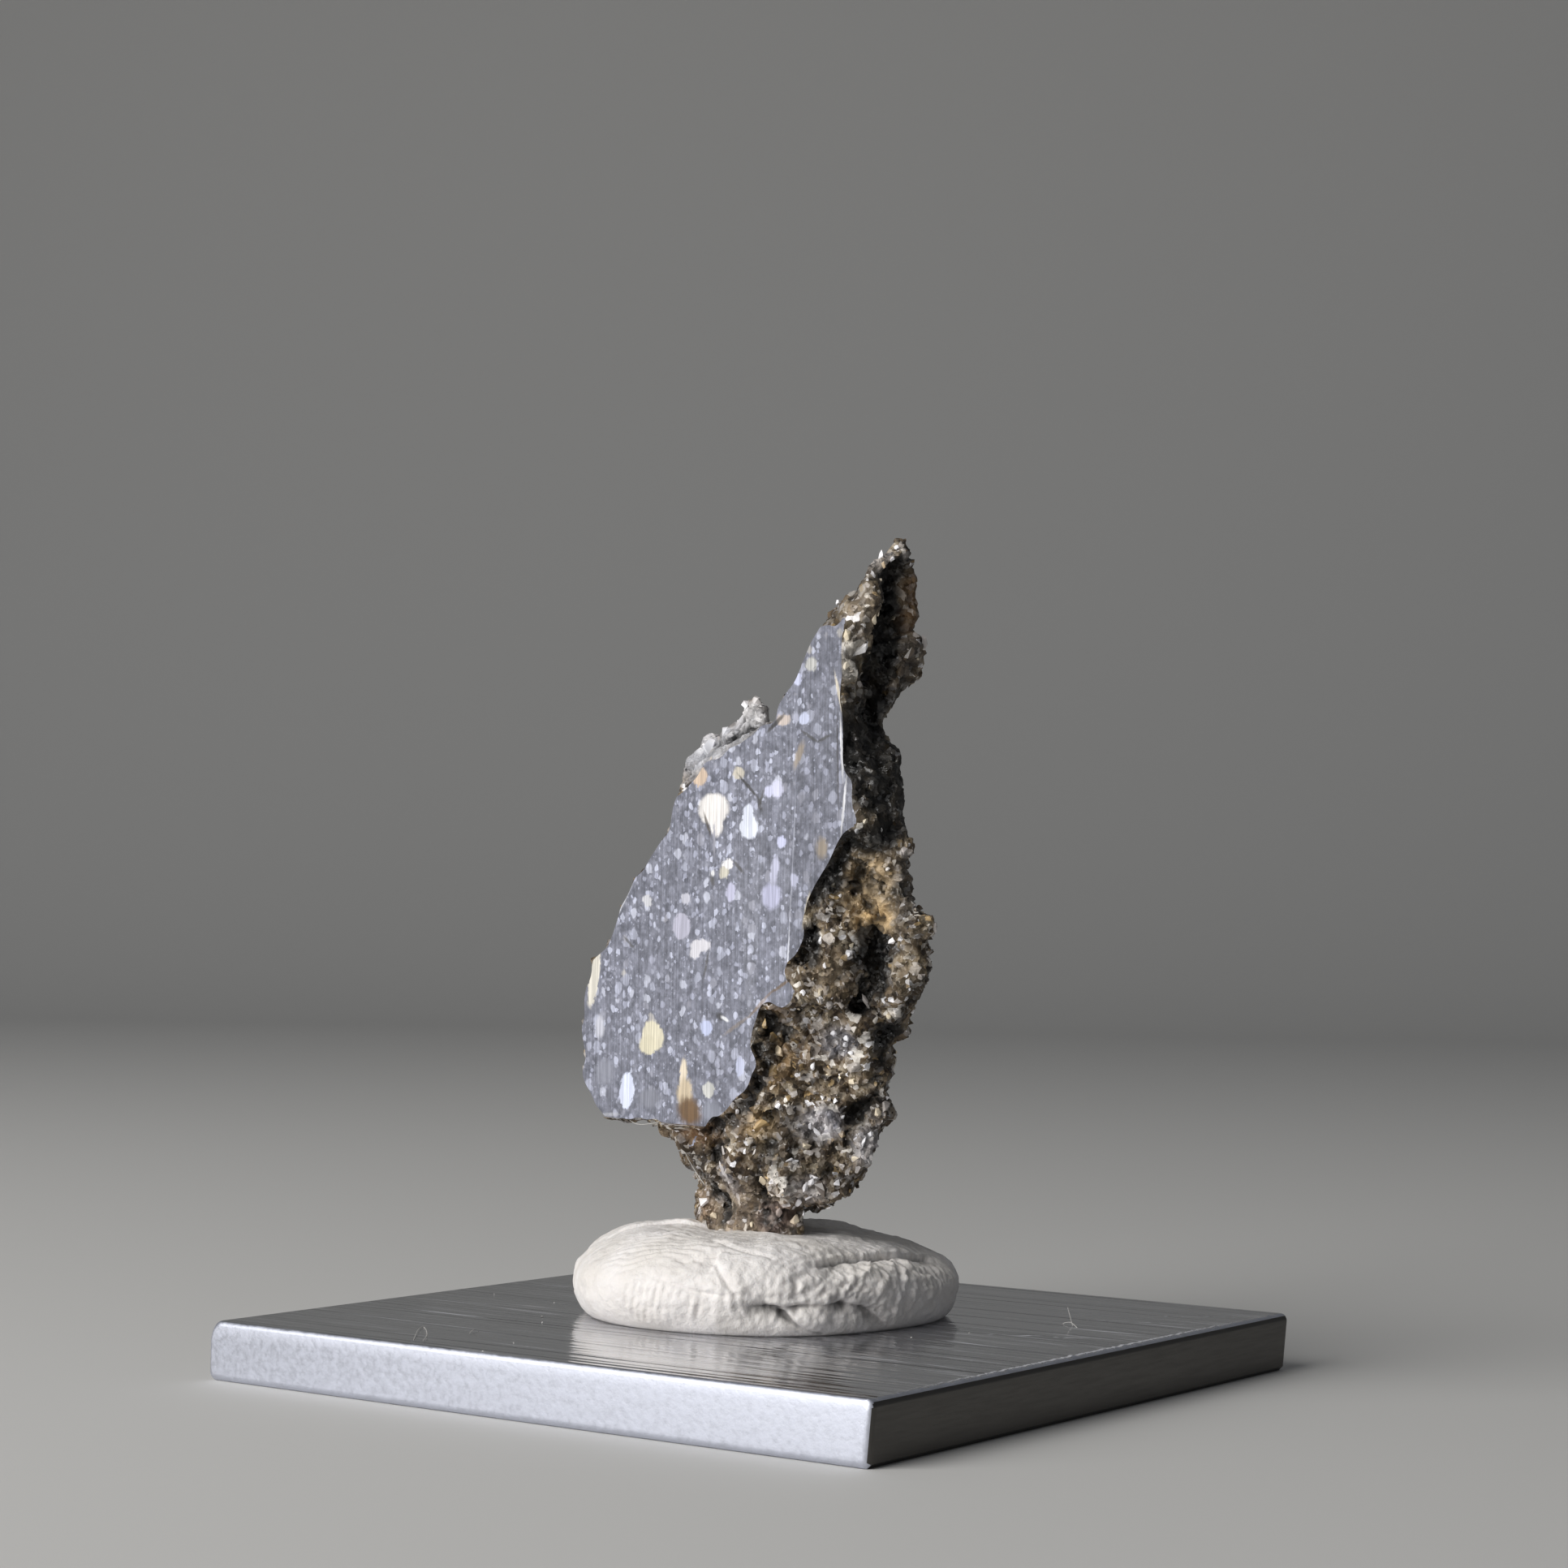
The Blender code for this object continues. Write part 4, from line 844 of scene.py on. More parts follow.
def bumped(tree, height, strength, distance):
    """A normal bent by heights, where a height of one stands for a distance in millimetres."""
    return add(tree, "ShaderNodeBump", inputs={
        "Strength": strength, "Distance": distance * MM, "Height": height})


def millimetres(tree, centre=(0, 0, 0), turn=0.0):
    """Object coordinates in millimetres, from a centre and turned about Z."""
    place = add(tree, "ShaderNodeTexCoord", output="Object")
    location = tuple(value * MM for value in centre)
    return add(tree, "ShaderNodeMapping", {"vector_type": "TEXTURE"}, {
        "Vector": place, "Location": location, "Rotation": (0, 0, math.radians(turn)),
        "Scale": (MM, MM, MM)})


def stone_place(tree):
    return millimetres(tree, (*STONE_CENTRE, 0), STONE_TURN_DEGREES)


def warped(tree, place, size, amount):
    """A place pushed about by noise, so that what is drawn there has an irregular edge."""
    drift = clouds(tree, place, size, 3.0, output="Color")
    centred = vector_math(tree, "SUBTRACT", drift, (0.5, 0.5, 0.5))
    return vector_math(tree, "MULTIPLY_ADD", centred, (amount,) * 3, place)


def mix_colour(tree, factor, first, second):
    return add(tree, "ShaderNodeMix", {"data_type": "RGBA"}, {0: factor, 6: first, 7: second}, 2)


def smooth_step(tree, value, low, high, to_low=0.0, to_high=1.0):
    return add(tree, "ShaderNodeMapRange", {"interpolation_type": "SMOOTHSTEP"}, {
        "Value": value, "From Min": low, "From Max": high, "To Min": to_low, "To Max": to_high})


def blob(tree, place, centre, half, tilt, soft):
    """1 inside an ellipsoid and 0 outside it, with an edge that is soft over that share of its size."""
    inside = add(tree, "ShaderNodeMapping", {"vector_type": "TEXTURE"}, {
        "Vector": place, "Location": centre, "Rotation": (0, math.radians(tilt), 0), "Scale": half})
    reach = vector_math(tree, "LENGTH", inside, output="Value")
    return smooth_step(tree, reach, 1 + soft / 2, 1 - soft / 2)


def painted(tree, colour, place, patch, code, strength=None):
    """Lays a patch (centre, half sizes, tilt, softness) of another colour over a colour."""
    inside = blob(tree, place, *patch)
    if strength is not None:
        inside = calculate(tree, "MULTIPLY", inside, strength)
    return mix_colour(tree, inside, colour, hex_colour(code))


def ramp(tree, value, stops, interpolation="LINEAR"):
    """A colour ramp from (position, hex colour) stops."""
    made = tree.nodes.new("ShaderNodeValToRGB")
    made.color_ramp.interpolation = interpolation
    elements = made.color_ramp.elements
    while len(elements) > 1:
        elements.remove(elements[-1])
    for index, (position, code) in enumerate(stops):
        element = elements[0] if index == 0 else elements.new(position)
        element.position = position
        element.color = hex_colour(code)
    tree.links.new(value, made.inputs["Fac"])
    return made.outputs["Color"]


# Materials

# Small clasts of the saw face: size, how cells measure distance, share of cells that hold one, tones
SMALL_CLASTS = [
    (0.2, "EUCLIDEAN", 0.35, [(0.0, "#8d8f9d"), (0.4, "#a9abbb"), (0.75, "#c3c7dc")]),
    (0.36, "EUCLIDEAN", 0.6, [(0.0, "#5d5f69"), (0.25, "#9a9cab"), (0.6, "#b2b5c8"), (0.82, "#d3d7ea")]),
    (0.62, "EUCLIDEAN", 0.45, [(0.0, "#62646f"), (0.25, "#a0a1ae"), (0.55, "#b4b7c8"), (0.85, "#d0d3e2")]),
    (1.15, "MANHATTAN", 0.26, [(0.0, "#70727d"), (0.3, "#a3a2ab"), (0.6, "#b4b6c8"), (0.9, "#c6c2bd")]),
]
# Clasts that stand out on the saw face: (across, height), (half across, half height), tilt, colour, softness
CLASTS = [
    ((0.4, 29.2), (1.25, 0.8), 0, "#e9e5e2", 0.3),
    ((0.65, 28.5), (0.55, 0.7), 0, "#e4e0dd", 0.4),
    ((0.5, 27.6), (0.08, 0.8), 0, "#a0a0ac", 1.2),
    ((3.3, 28.2), (0.75, 0.6), 0, "#e4e9f6", 0.25),
    ((3.2, 28.8), (0.42, 0.6), 10, "#dfe4f3", 0.3),
    ((-6.6, 14.3), (0.62, 0.98), 8, "#dbe1f6", 0.18),
    ((-4.4, 17.3), (0.95, 0.75), 20, "#dcd5bd", 0.22),
    ((-4.8, 16.8), (0.75, 0.5), 0, "#d6cfb6", 0.3),
    ((-9.7, 20.2), (0.42, 1.6), 12, "#ddd8cc", 0.3),
    ((-2.1, 23.1), (0.75, 0.7), 0, "#b4b3c3", 0.2),
    ((-0.5, 22.1), (0.85, 0.33), 0, "#d6d4da", 0.35),
    ((-0.9, 21.8), (0.5, 0.35), -20, "#d6d4da", 0.35),
    ((-1.75, 15.3), (0.3, 0.9), 4, "#ddd0bb", 0.5),
    ((-1.6, 14.4), (0.62, 0.8), 4, "#c8b89e", 0.6),
    ((-1.2, 13.5), (0.95, 0.7), 10, "#70583f", 0.8),
    ((0.37, 14.7), (0.5, 0.4), 0, "#c8c8c4", 0.3),
    ((2.9, 16.0), (0.36, 0.5), 0, "#c5cae2", 0.4),
    ((0.1, 17.9), (0.5, 0.4), 15, "#bcc3df", 0.35),
    ((1.6, 26.3), (0.45, 0.3), 0, "#e6e4e6", 0.3),
    ((1.35, 25.9), (0.4, 0.3), 0, "#c9c4b6", 0.5),
    ((-0.8, 30.9), (0.6, 0.5), 0, "#d1bba6", 0.35),
    ((2.4, 31.0), (0.45, 0.32), 0, "#cbc4b6", 0.5),
    ((5.9, 33.6), (0.5, 0.3), 0, "#c9bcb4", 0.5),
    ((7.6, 33.6), (0.4, 0.32), 0, "#ccd2ea", 0.35),
    ((8.05, 36.3), (0.4, 0.35), 0, "#c6c6c2", 0.5),
    ((7.0, 35.6), (0.35, 0.3), 0, "#c7cbe4", 0.5),
    ((-5.1, 24.4), (0.42, 0.3), 20, "#c9c9ce", 0.35),
    ((-1.8, 24.55), (0.4, 0.3), 0, "#c4c4cf", 0.4),
    ((1.9, 24.9), (0.35, 0.5), 0, "#babad0", 0.5),
    ((5.2, 24.7), (0.75, 0.65), 0, "#b9bad3", 0.5),
    ((5.5, 30.1), (0.5, 0.45), 0, "#cfd0e6", 0.5),
    ((4.8, 30.0), (0.35, 0.3), 0, "#c6c8e0", 0.5),
    ((5.9, 27.4), (0.35, 0.3), 0, "#c8cbe6", 0.4),
    ((5.4, 26.0), (0.3, 0.75), 12, "#bcbdd2", 0.6),
    ((7.0, 25.5), (0.3, 0.35), 0, "#c4c6dc", 0.5),
    ((9.1, 27.1), (0.42, 0.5), 0, "#9c9184", 0.9),
    ((7.2, 31.8), (0.25, 0.7), 30, "#a0958a", 0.9),
    ((-9.1, 17.6), (0.4, 0.6), 0, "#bdbec8", 0.7),
    ((-8.6, 15.2), (0.8, 0.7), 0, "#8f919d", 0.8),
    ((-4.6, 14.0), (1.0, 0.5), 0, "#868893", 0.8),
    ((0.7, 13.6), (0.8, 0.5), 0, "#878a96", 0.6),
]
# Cracks and scratches on the saw face, and a painted highlight along the saw's step: (across, height) at
# each end, width, colour, strength
SAW_LINES = [
    ((2.4, 30.9), (4.0, 29.7), 0.09, "#3a3834", 0.8),
    ((4.0, 29.7), (4.3, 29.0), 0.16, "#35332f", 0.8),
    ((4.5, 30.2), (4.1, 29.3), 0.09, "#4a4843", 0.6),
    ((2.1, 26.5), (2.9, 25.9), 0.11, "#45433f", 0.8),
    ((-0.4, 29.0), (0.2, 27.8), 0.10, "#4a4238", 0.8),
    ((7.4, 33.0), (8.6, 32.4), 0.08, "#4c4a46", 0.7),
    ((8.6, 32.4), (9.6, 32.7), 0.08, "#4c4a46", 0.7),
    ((4.6, 33.0), (6.0, 33.9), 0.12, "#35322e", 0.8),
    ((-7.1, 22.5), (-6.2, 21.9), 0.09, "#4a4843", 0.7),
    ((0.2, 21.9), (-0.2, 20.4), 0.10, "#4c4a46", 0.7),
    ((0.2, 26.0), (0.5, 25.2), 0.14, "#55534e", 0.7),
    ((0.9, 18.6), (1.5, 18.4), 0.16, "#3b3936", 0.7),
    ((1.3, 18.5), (1.9, 18.3), 0.10, "#eff0f2", 0.9),
    ((0.3, 25.9), (0.55, 25.85), 0.14, "#f2f2f2", 0.9),
    ((6.9, 20.6), (5.2, 19.8), 0.09, "#6b563e", 0.8),
    ((5.2, 19.8), (3.6, 18.6), 0.10, "#8f7960", 0.6),
    ((3.6, 18.6), (1.6, 17.6), 0.10, "#9a8a76", 0.4),
    # Painted highlight along the edge of the saw's step
    ((7.02, 29.6), (6.82, 25.5), 0.05, "#c9cbd8", 0.3),
    ((10.1, 33.6), (10.3, 29.0), 0.07, "#4d4a4c", 0.7),
    ((10.35, 33.4), (10.6, 30.5), 0.09, "#f4f4f8", 0.85),
    ((10.85, 30.5), (10.55, 27.9), 0.09, "#f4f4f8", 0.85),
    ((9.9, 35.7), (10.5, 33.8), 0.1, "#e6dcc8", 0.85),
    ((8.2, 24.8), (7.75, 23.2), 0.12, "#ded2b6", 0.8),
    ((4.5, 18.9), (4.45, 18.0), 0.14, "#ece4d4", 0.85),
    ((-6.4, 25.4), (-7.7, 23.6), 0.09, "#d9dae0", 0.7),
    ((-8.9, 12.9), (-7.2, 13.0), 0.09, "#c8c9cf", 0.4),
    # Painted highlight along the edge of the saw's step, lower down
    ((6.82, 25.5), (6.68, 23.0), 0.05, "#d2d4e0", 0.4),
    ((6.68, 23.0), (6.55, 20.6), 0.06, "#e6e8f2", 0.9),
]
# How far splinters break the outlines of the larger clasts, and how deep the saw face's marks reach
SPLINTER = 0.12
MARK_DEPTH = 1.0


def line_place(first, second):
    """Centre, half length and tilt of a straight line on the saw face."""
    across = second[0] - first[0]
    height = second[1] - first[1]
    centre = ((first[0] + second[0]) / 2, SAW_DEPTH, (first[1] + second[1]) / 2)
    return centre, math.hypot(across, height) / 2, math.degrees(-math.atan2(height, across))


def sawn_breccia():
    """Feldspathic breccia cut by a diamond saw: blue-grey matrix full of pale angular clasts.

    The blade leaves it dull, with fine streaks that run with its feed, from top to bottom.
    """
    made, tree = new_material("sawn_feldspathic_breccia")
    place = stone_place(tree)
    rough_place = warped(tree, place, 0.3, 0.3)
    mottling = clouds(tree, place, 0.5, 6.0, 0.65)
    colour = ramp(tree, mottling, [(0.3, "#5a5c67"), (0.5, "#777985"), (0.72, "#9496a5")])
    for size, metric, share, tones in SMALL_CLASTS:
        cell = cells(tree, rough_place, size, metric)
        parts = channels(tree, cell["Color"])
        limit = smooth_step(tree, parts["Red"], 1 - share, 1.0, 0.12, 0.62)
        edge = calculate(tree, "SUBTRACT", limit, cell["Distance"])
        grain = smooth_step(tree, edge, -0.05, 0.15, 0.0, 0.68)
        colour = mix_colour(tree, grain, colour, ramp(tree, parts["Green"], tones, "CONSTANT"))
    fine_place = warped(tree, place, 0.3, 0.14)
    splinters = cells(tree, place, 0.22)["Color"]
    broken_place = vector_math(tree, "MULTIPLY_ADD", splinters, (SPLINTER,) * 3, fine_place)
    for (across, height), (wide, tall), tilt, code, soft in CLASTS:
        centre = (across + SPLINTER / 2, SAW_DEPTH, height + SPLINTER / 2)
        patch = (centre, (wide, MARK_DEPTH, tall), tilt, soft)
        colour = painted(tree, colour, broken_place, patch, code)
    for first, second, width, code, strength in SAW_LINES:
        centre, half, tilt = line_place(first, second)
        patch = (centre, (half, MARK_DEPTH, width), tilt, 0.9)
        colour = painted(tree, colour, fine_place, patch, code, strength)
    # Saw streaks: 8 a millimetre, drawn out along the feed
    streaks = clouds(tree, stretched(tree, place, (4.0, 1.0, 0.12)), 0.5, 3.0, 0.7)
    shade = smooth_step(tree, streaks, 0.3, 0.7, 0.72, 1.2)
    # The second pass of the saw, right of the step, left a darker face
    (low, low_height), (high, high_height) = SAW_STEP_LINE
    lean = (high - low) / (high_height - low_height)
    step = low - lean * low_height
    past_step = vector_math(tree, "DOT_PRODUCT", place, (1, 0, -lean), output="Value")
    darker = smooth_step(tree, past_step, step, step + 0.2, 1.0, 0.84)
    shade = calculate(tree, "MULTIPLY", shade, darker)
    relief = calculate(tree, "MULTIPLY_ADD", mottling, 0.8, streaks)
    gloss = smooth_step(tree, streaks, 0.35, 0.75, 0.62, 0.38)
    return finish_material(made, {
        "Base Color": scaled(tree, colour, shade), "Roughness": gloss,
        "Normal": bumped(tree, relief, 0.5, 0.03), "IOR": 1.56})


# Stains and fresh breaks of the crust, and patches of painted shade by the crag: (across, depth, height),
# half sizes, colour, strength
CRUST_TINTS = [
    ((10.8, -1.4, 24.8), (1.25, 1.5, 2.3), "#dcc096", 1.1),
    ((10.7, -1.4, 23.7), (0.8, 1.0, 0.7), "#eac58c", 1.05),
    ((10.4, 1.0, 40.2), (0.7, 0.9, 0.9), "#8a6534", 0.7),
    ((10.6, 0.9, 38.6), (0.6, 0.8, 0.7), "#6b4a28", 0.7),
    ((2.6, -3.0, 13.3), (1.6, 0.9, 0.9), "#7a6244", 0.6),
    ((-0.8, -2.8, 12.6), (1.8, 1.0, 0.9), "#8a6139", 0.6),
    ((5.4, -3.0, 19.0), (0.8, 0.8, 0.9), "#8a6a3e", 0.6),
    ((6.4, -2.2, 17.2), (1.6, 1.2, 1.2), "#6e5840", 0.5),
    ((10.9, -2.4, 38.2), (0.8, 0.9, 2.6), "#b5a998", 0.35),
    ((10.5, -2.9, 36.4), (0.5, 0.6, 1.1), "#ece6dc", 0.8),
    ((10.6, -1.1, 41.4), (0.7, 0.8, 1.6), "#d8d3d0", 0.6),
    ((11.0, 0.8, 36.8), (0.7, 0.9, 1.2), "#5e5a58", 0.6),
    ((6.4, -0.8, 13.2), (1.3, 1.0, 0.8), "#cdcdd8", 0.7),
    ((8.3, 0.8, 12.3), (0.9, 0.9, 1.2), "#c4c2c6", 0.6),
    ((7.6, -0.8, 17.5), (0.9, 0.9, 0.8), "#bcbdc7", 0.6),
    ((3.6, -2.5, 13.0), (0.9, 0.8, 0.8), "#b39a72", 0.7),
    ((4.9, -2.6, 16.3), (0.9, 0.8, 1.3), "#a98a60", 0.7),
    ((9.0, -2.6, 20.6), (1.3, 1.0, 1.0), "#b09c80", 0.5),
    ((11.9, -0.3, 21.0), (0.9, 1.0, 1.4), "#94866f", 0.4),
    ((5.2, -0.8, 9.8), (1.2, 1.0, 0.8), "#b9b4b4", 0.6),
    ((-2.4, -2.4, 32.2), (1.3, 1.0, 0.9), "#d8dae2", 0.85),
    ((0.4, -2.2, 32.8), (5.2, 1.6, 2.4), "#d0d2da", 0.8),
    ((2.2, -1.6, 34.4), (1.4, 1.0, 1.2), "#c9c6c4", 0.6),
    # Painted shade: dark patches in the crevices around the crag
    ((1.2, -1.7, 35.1), (0.5, 0.6, 0.5), "#5b4a36", 0.9),
    ((0.0, -2.3, 33.7), (1.0, 0.5, 0.25), "#40362a", 1.1),
    ((-1.6, -2.0, 33.4), (0.9, 0.8, 0.5), "#5b4631", 0.7),
    ((1.8, -1.6, 32.7), (1.1, 0.9, 0.45), "#4c3e2c", 0.7),
    ((8.9, 1.0, 13.9), (1.0, 1.2, 1.2), "#7d746b", 0.6),
    ((6.0, -1.4, 12.9), (1.6, 1.0, 0.8), "#8d867e", 0.6),
    ((1.3, -2.4, 10.2), (0.6, 1.0, 1.1), "#777a86", 0.7),
    ((1.5, -1.8, 8.7), (3.4, 1.6, 1.5), "#a89684", 0.45),
    ((-1.2, -2.2, 8.7), (1.0, 1.0, 0.9), "#9a8068", 0.6),
    ((3.4, -1.4, 8.3), (0.8, 1.4, 0.8), "#c2aaa0", 0.8),
    ((12.1, -0.4, 25.2), (0.7, 0.9, 1.9), "#5d5b5a", 0.6),
    ((12.3, 0.1, 23.1), (1.0, 1.0, 0.5), "#8f8376", 0.6),
]
# Painted shade: places darkened towards black where shade falls, in the channel and wall under the spire and
# in the deep clefts
CRUST_PAINTED_SHADE = [
    ((10.4, -0.6, 38.0), (0.65, 0.9, 3.3)),
    ((10.9, -1.2, 31.2), (2.6, 3.0, 4.0)),
    ((10.8, -1.6, 27.7), (2.0, 2.0, 0.9)),
    ((10.2, -0.8, 21.2), (0.7, 1.4, 1.9)),
    ((9.4, -3.1, 25.9), (0.6, 0.7, 1.4)),
    ((8.1, -3.0, 22.3), (0.5, 0.8, 1.3)),
    ((4.7, -3.1, 17.0), (0.5, 0.8, 1.4)),
    ((9.6, 1.0, 17.6), (1.0, 1.2, 0.9)),
]


def crystal_faces(tree, place, size):
    """Small planes that lean their own way, as heights, with a chance and a pick of their own for each."""
    cell = cells(tree, place, size)
    offset = vector_math(tree, "SUBTRACT", place, cell["Position"])
    lean = vector_math(tree, "SUBTRACT", cell["Color"], (0.5, 0.5, 0.5))
    height = vector_math(tree, "DOT_PRODUCT", offset, lean, output="Value")
    parts = channels(tree, cell["Color"])
    return height, parts["Red"], parts["Green"]


def stains_and_painted_shade(tree, place, colour, share):
    """Lays the crust's stains and fresh breaks, and the painted shade by the crag, over a colour."""
    for centre, half, code, strength in CRUST_TINTS:
        colour = painted(tree, colour, place, (centre, half, 0, 0.9), code, strength * share)
    return colour


def with_painted_shade(tree, place, colour):
    """Darkens a colour in random patches, paints shade where the relief is low and light where it is high,
    and paints shade where it falls deepest.
    """
    # Painted shade in hollows and painted light on lumps, from the relief
    depth = smooth_step(tree, attribute(tree, "relief"), -0.42, 0.12, 0.1, 1.25)
    patchy = smooth_step(tree, clouds(tree, place, 2.2, 2.0), 0.35, 0.62, 0.6, 1.2)
    depth = calculate(tree, "MULTIPLY", depth, patchy)
    # Painted shade in the places where shade falls deepest
    for centre, half in CRUST_PAINTED_SHADE:
        kept = smooth_step(tree, blob(tree, place, centre, half, 0, 0.8), 0.0, 1.0, 1.0, 0.1)
        depth = calculate(tree, "MULTIPLY", depth, kept)
    return scaled(tree, colour, depth)


def weathered_crust():
    """The stone's natural outside: dark brown desert weathered matrix with broken feldspar in it.

    Crystal faces are glossy and dust between them is dull, so it glints in points.
    """
    made, tree = new_material("weathered_breccia_crust")
    place = stone_place(tree)
    rough_place = warped(tree, place, 0.5, 0.3)
    ground = clouds(tree, place, 1.1, 7.0, 0.7)
    colour = ramp(tree, ground, [(0.3, "#1f1710"), (0.43, "#4a3a26"), (0.55, "#786a54"), (0.68, "#aaa08f")])
    # Crystals in two sizes, about half of the finer ones hidden by dust
    broad_faces, broad_chance, broad_pick = crystal_faces(tree, rough_place, 0.55)
    fine_faces, chance, pick = crystal_faces(tree, rough_place, 0.27)
    crystals = ramp(tree, pick, [
        (0.0, "#2b2119"), (0.22, "#5a4b38"), (0.42, "#8a7f70"), (0.6, "#aaa4a0"), (0.78, "#b59a6e"),
        (0.82, "#d5cfc6"), (0.93, "#f0eff2")], "CONSTANT")
    shown = smooth_step(tree, chance, 0.45, 0.55, 0.0, 0.8)
    colour = mix_colour(tree, shown, colour, crystals)
    slabs = ramp(tree, broad_pick, [
        (0.0, "#33281c"), (0.3, "#7c6c58"), (0.6, "#aaa49f"), (0.85, "#d9d4cc")], "CONSTANT")
    broad_shown = smooth_step(tree, broad_chance, 0.7, 0.78, 0.0, 0.7)
    colour = mix_colour(tree, broad_shown, colour, slabs)
    colour = stains_and_painted_shade(tree, rough_place, colour, 0.72)
    height = calculate(tree, "ADD", broad_faces, fine_faces)
    gloss = smooth_step(tree, pick, 0.1, 0.9, 0.68, 0.32)
    # The base colour carries painted shade in hollows and painted light on lumps
    return finish_material(made, {
        "Base Color": with_painted_shade(tree, rough_place, colour), "Roughness": gloss,
        "Normal": bumped(tree, height, 1.0, 1.15), "IOR": 1.56})


def crystal_grains():
    """Loose and broken feldspar and olivine grains on the crust: hard, glossy, clear to brown."""
    made, tree = new_material("feldspar_grains")
    place = stone_place(tree)
    colour = ramp(tree, attribute(tree, "grain_shade"), [
        (0.0, "#241b13"), (0.25, "#4a3c2b"), (0.45, "#73634d"), (0.6, "#8f857b"), (0.69, "#9c8358"),
        (0.73, "#b0aaa6"), (0.84, "#dccfb6"), (0.93, "#f4f3f6")], "CONSTANT")
    colour = stains_and_painted_shade(tree, place, colour, 0.45)
    # Painted shade in hollows and painted light on lumps, as on the crust
    return finish_material(made, {
        "Base Color": with_painted_shade(tree, place, colour), "Roughness": 0.3, "IOR": 1.57})


def mounting_putty():
    """White adhesive putty, kneaded and pressed by hand: matt, a little see-into, with painted shade in its
    creases.
    """
    made, tree = new_material("kneaded_adhesive_putty")
    place = millimetres(tree)
    colour = ramp(tree, clouds(tree, place, 3.0, 4.0), [(0.35, "#e0dbd5"), (0.65, "#ebe7e4")])
    # Painted shade: darker where the relief is low, in creases, dents and between ridges
    depth = smooth_step(tree, attribute(tree, "relief"), -0.65, -0.2, 0.3, 1.0)
    skin = clouds(tree, place, 0.3, 6.0, 0.65)
    return finish_material(made, {
        "Base Color": scaled(tree, colour, depth), "Roughness": 0.6, "Normal": bumped(tree, skin, 0.8, 0.12),
        "IOR": 1.5, "Subsurface Weight": 0.06, "Subsurface Radius": (1.0, 0.8, 0.6),
        "Subsurface Scale": 0.4 * MM})


def brushed_aluminium():
    """Mill finished aluminium bar, its flat brushed along its length.

    It mirrors well between its scratches, and the scratches scatter light.
    """
    made, tree = new_material("brushed_aluminium")
    place = millimetres(tree)
    brushing = clouds(tree, stretched(tree, place, (0.03, 3.5, 1.0)), 0.5, 5.0, 0.75)
    scratches = clouds(tree, stretched(tree, place, (0.06, 1.1, 1.0)), 0.5, 2.0)
    gloss = smooth_step(tree, brushing, 0.3, 0.7, 0.07, 0.2)
    fine_scatter = smooth_step(tree, brushing, 0.52, 0.72, 0.0, 0.16)
    broad_scatter = smooth_step(tree, scratches, 0.56, 0.72, 0.0, 0.4)
    scatter = calculate(tree, "MAXIMUM", fine_scatter, broad_scatter)
    for (x0, y0), (x1, y1), width in PLATE_SCRATCHES:
        middle = ((x0 + x1) / 2, (y0 + y1) / 2, PLATE_THICKNESS)
        half = math.hypot(x1 - x0, y1 - y0) / 2
        line = add(tree, "ShaderNodeMapping", {"vector_type": "TEXTURE"}, {
            "Vector": place, "Location": middle, "Scale": (half, width, 1),
            "Rotation": (0, 0, math.atan2(y1 - y0, x1 - x0))})
        reach = vector_math(tree, "LENGTH", line, output="Value")
        scored = smooth_step(tree, reach, 1.0, 0.4, 0.0, 0.7)
        gloss = calculate(tree, "MAXIMUM", gloss, scored)
        scatter = calculate(tree, "MAXIMUM", scatter, scored)
    height = calculate(tree, "MULTIPLY_ADD", scratches, 0.5, brushing)
    return finish_material(made, {
        "Base Color": hex_colour("#c6c7cc"), "Metallic": calculate(tree, "SUBTRACT", 1.0, scatter),
        "Roughness": gloss, "Normal": bumped(tree, height, 0.25, 0.005)})


def plain_metal(made, colour, gloss, normal):
    return finish_material(made, {
        "Base Color": hex_colour(colour), "Metallic": 1.0, "Roughness": gloss, "Normal": normal})


def filed_aluminium():
    """The plate's edges: cut and filed aluminium, satin and slightly mottled."""
    made, tree = new_material("filed_aluminium")
    mottling = clouds(tree, millimetres(tree), 0.35, 5.0, 0.65)
    gloss = smooth_step(tree, mottling, 0.3, 0.7, 0.38, 0.55)
    return plain_metal(made, "#cdd0db", gloss, bumped(tree, mottling, 0.5, 0.02))


def milled_aluminium():
    """The plate's right edge: smooth mill finish with a faint grain along it; its dark colour is painted
    shade and a painted reflection of a dark room.
    """
    made, tree = new_material("milled_aluminium_edge")
    grain = clouds(tree, stretched(tree, millimetres(tree), (1.0, 0.15, 2.0)), 1 / 3, 4.0, 0.6)
    gloss = smooth_step(tree, grain, 0.3, 0.7, 0.3, 0.42)
    return plain_metal(made, "#5a5855", gloss, bumped(tree, grain, 0.4, 0.01))


def plain_paint(name, code, roughness):
    made, _ = new_material(name)
    return finish_material(made, {"Base Color": hex_colour(code), "Roughness": roughness})


# Pieces

def placing(centre, turn):
    return (Matrix.Scale(MM, 4) @ Matrix.Translation((*centre, 0))
            @ Matrix.Rotation(math.radians(turn), 4, "Z"))


def finish_piece(obj, node=None, sharp_degrees=None, materials=()):
    """Gives a finished piece its materials and smoothing, hangs it on the root body, and hides the part it
    takes the place of.
    """
    for item in materials:
        obj.data.materials.append(item)
    if sharp_degrees is not None:
        obj.data.shade_smooth()
        obj.data.set_sharp_from_angle(angle=math.radians(sharp_degrees))
    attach(obj, "root")
    if node:
        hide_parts(node)


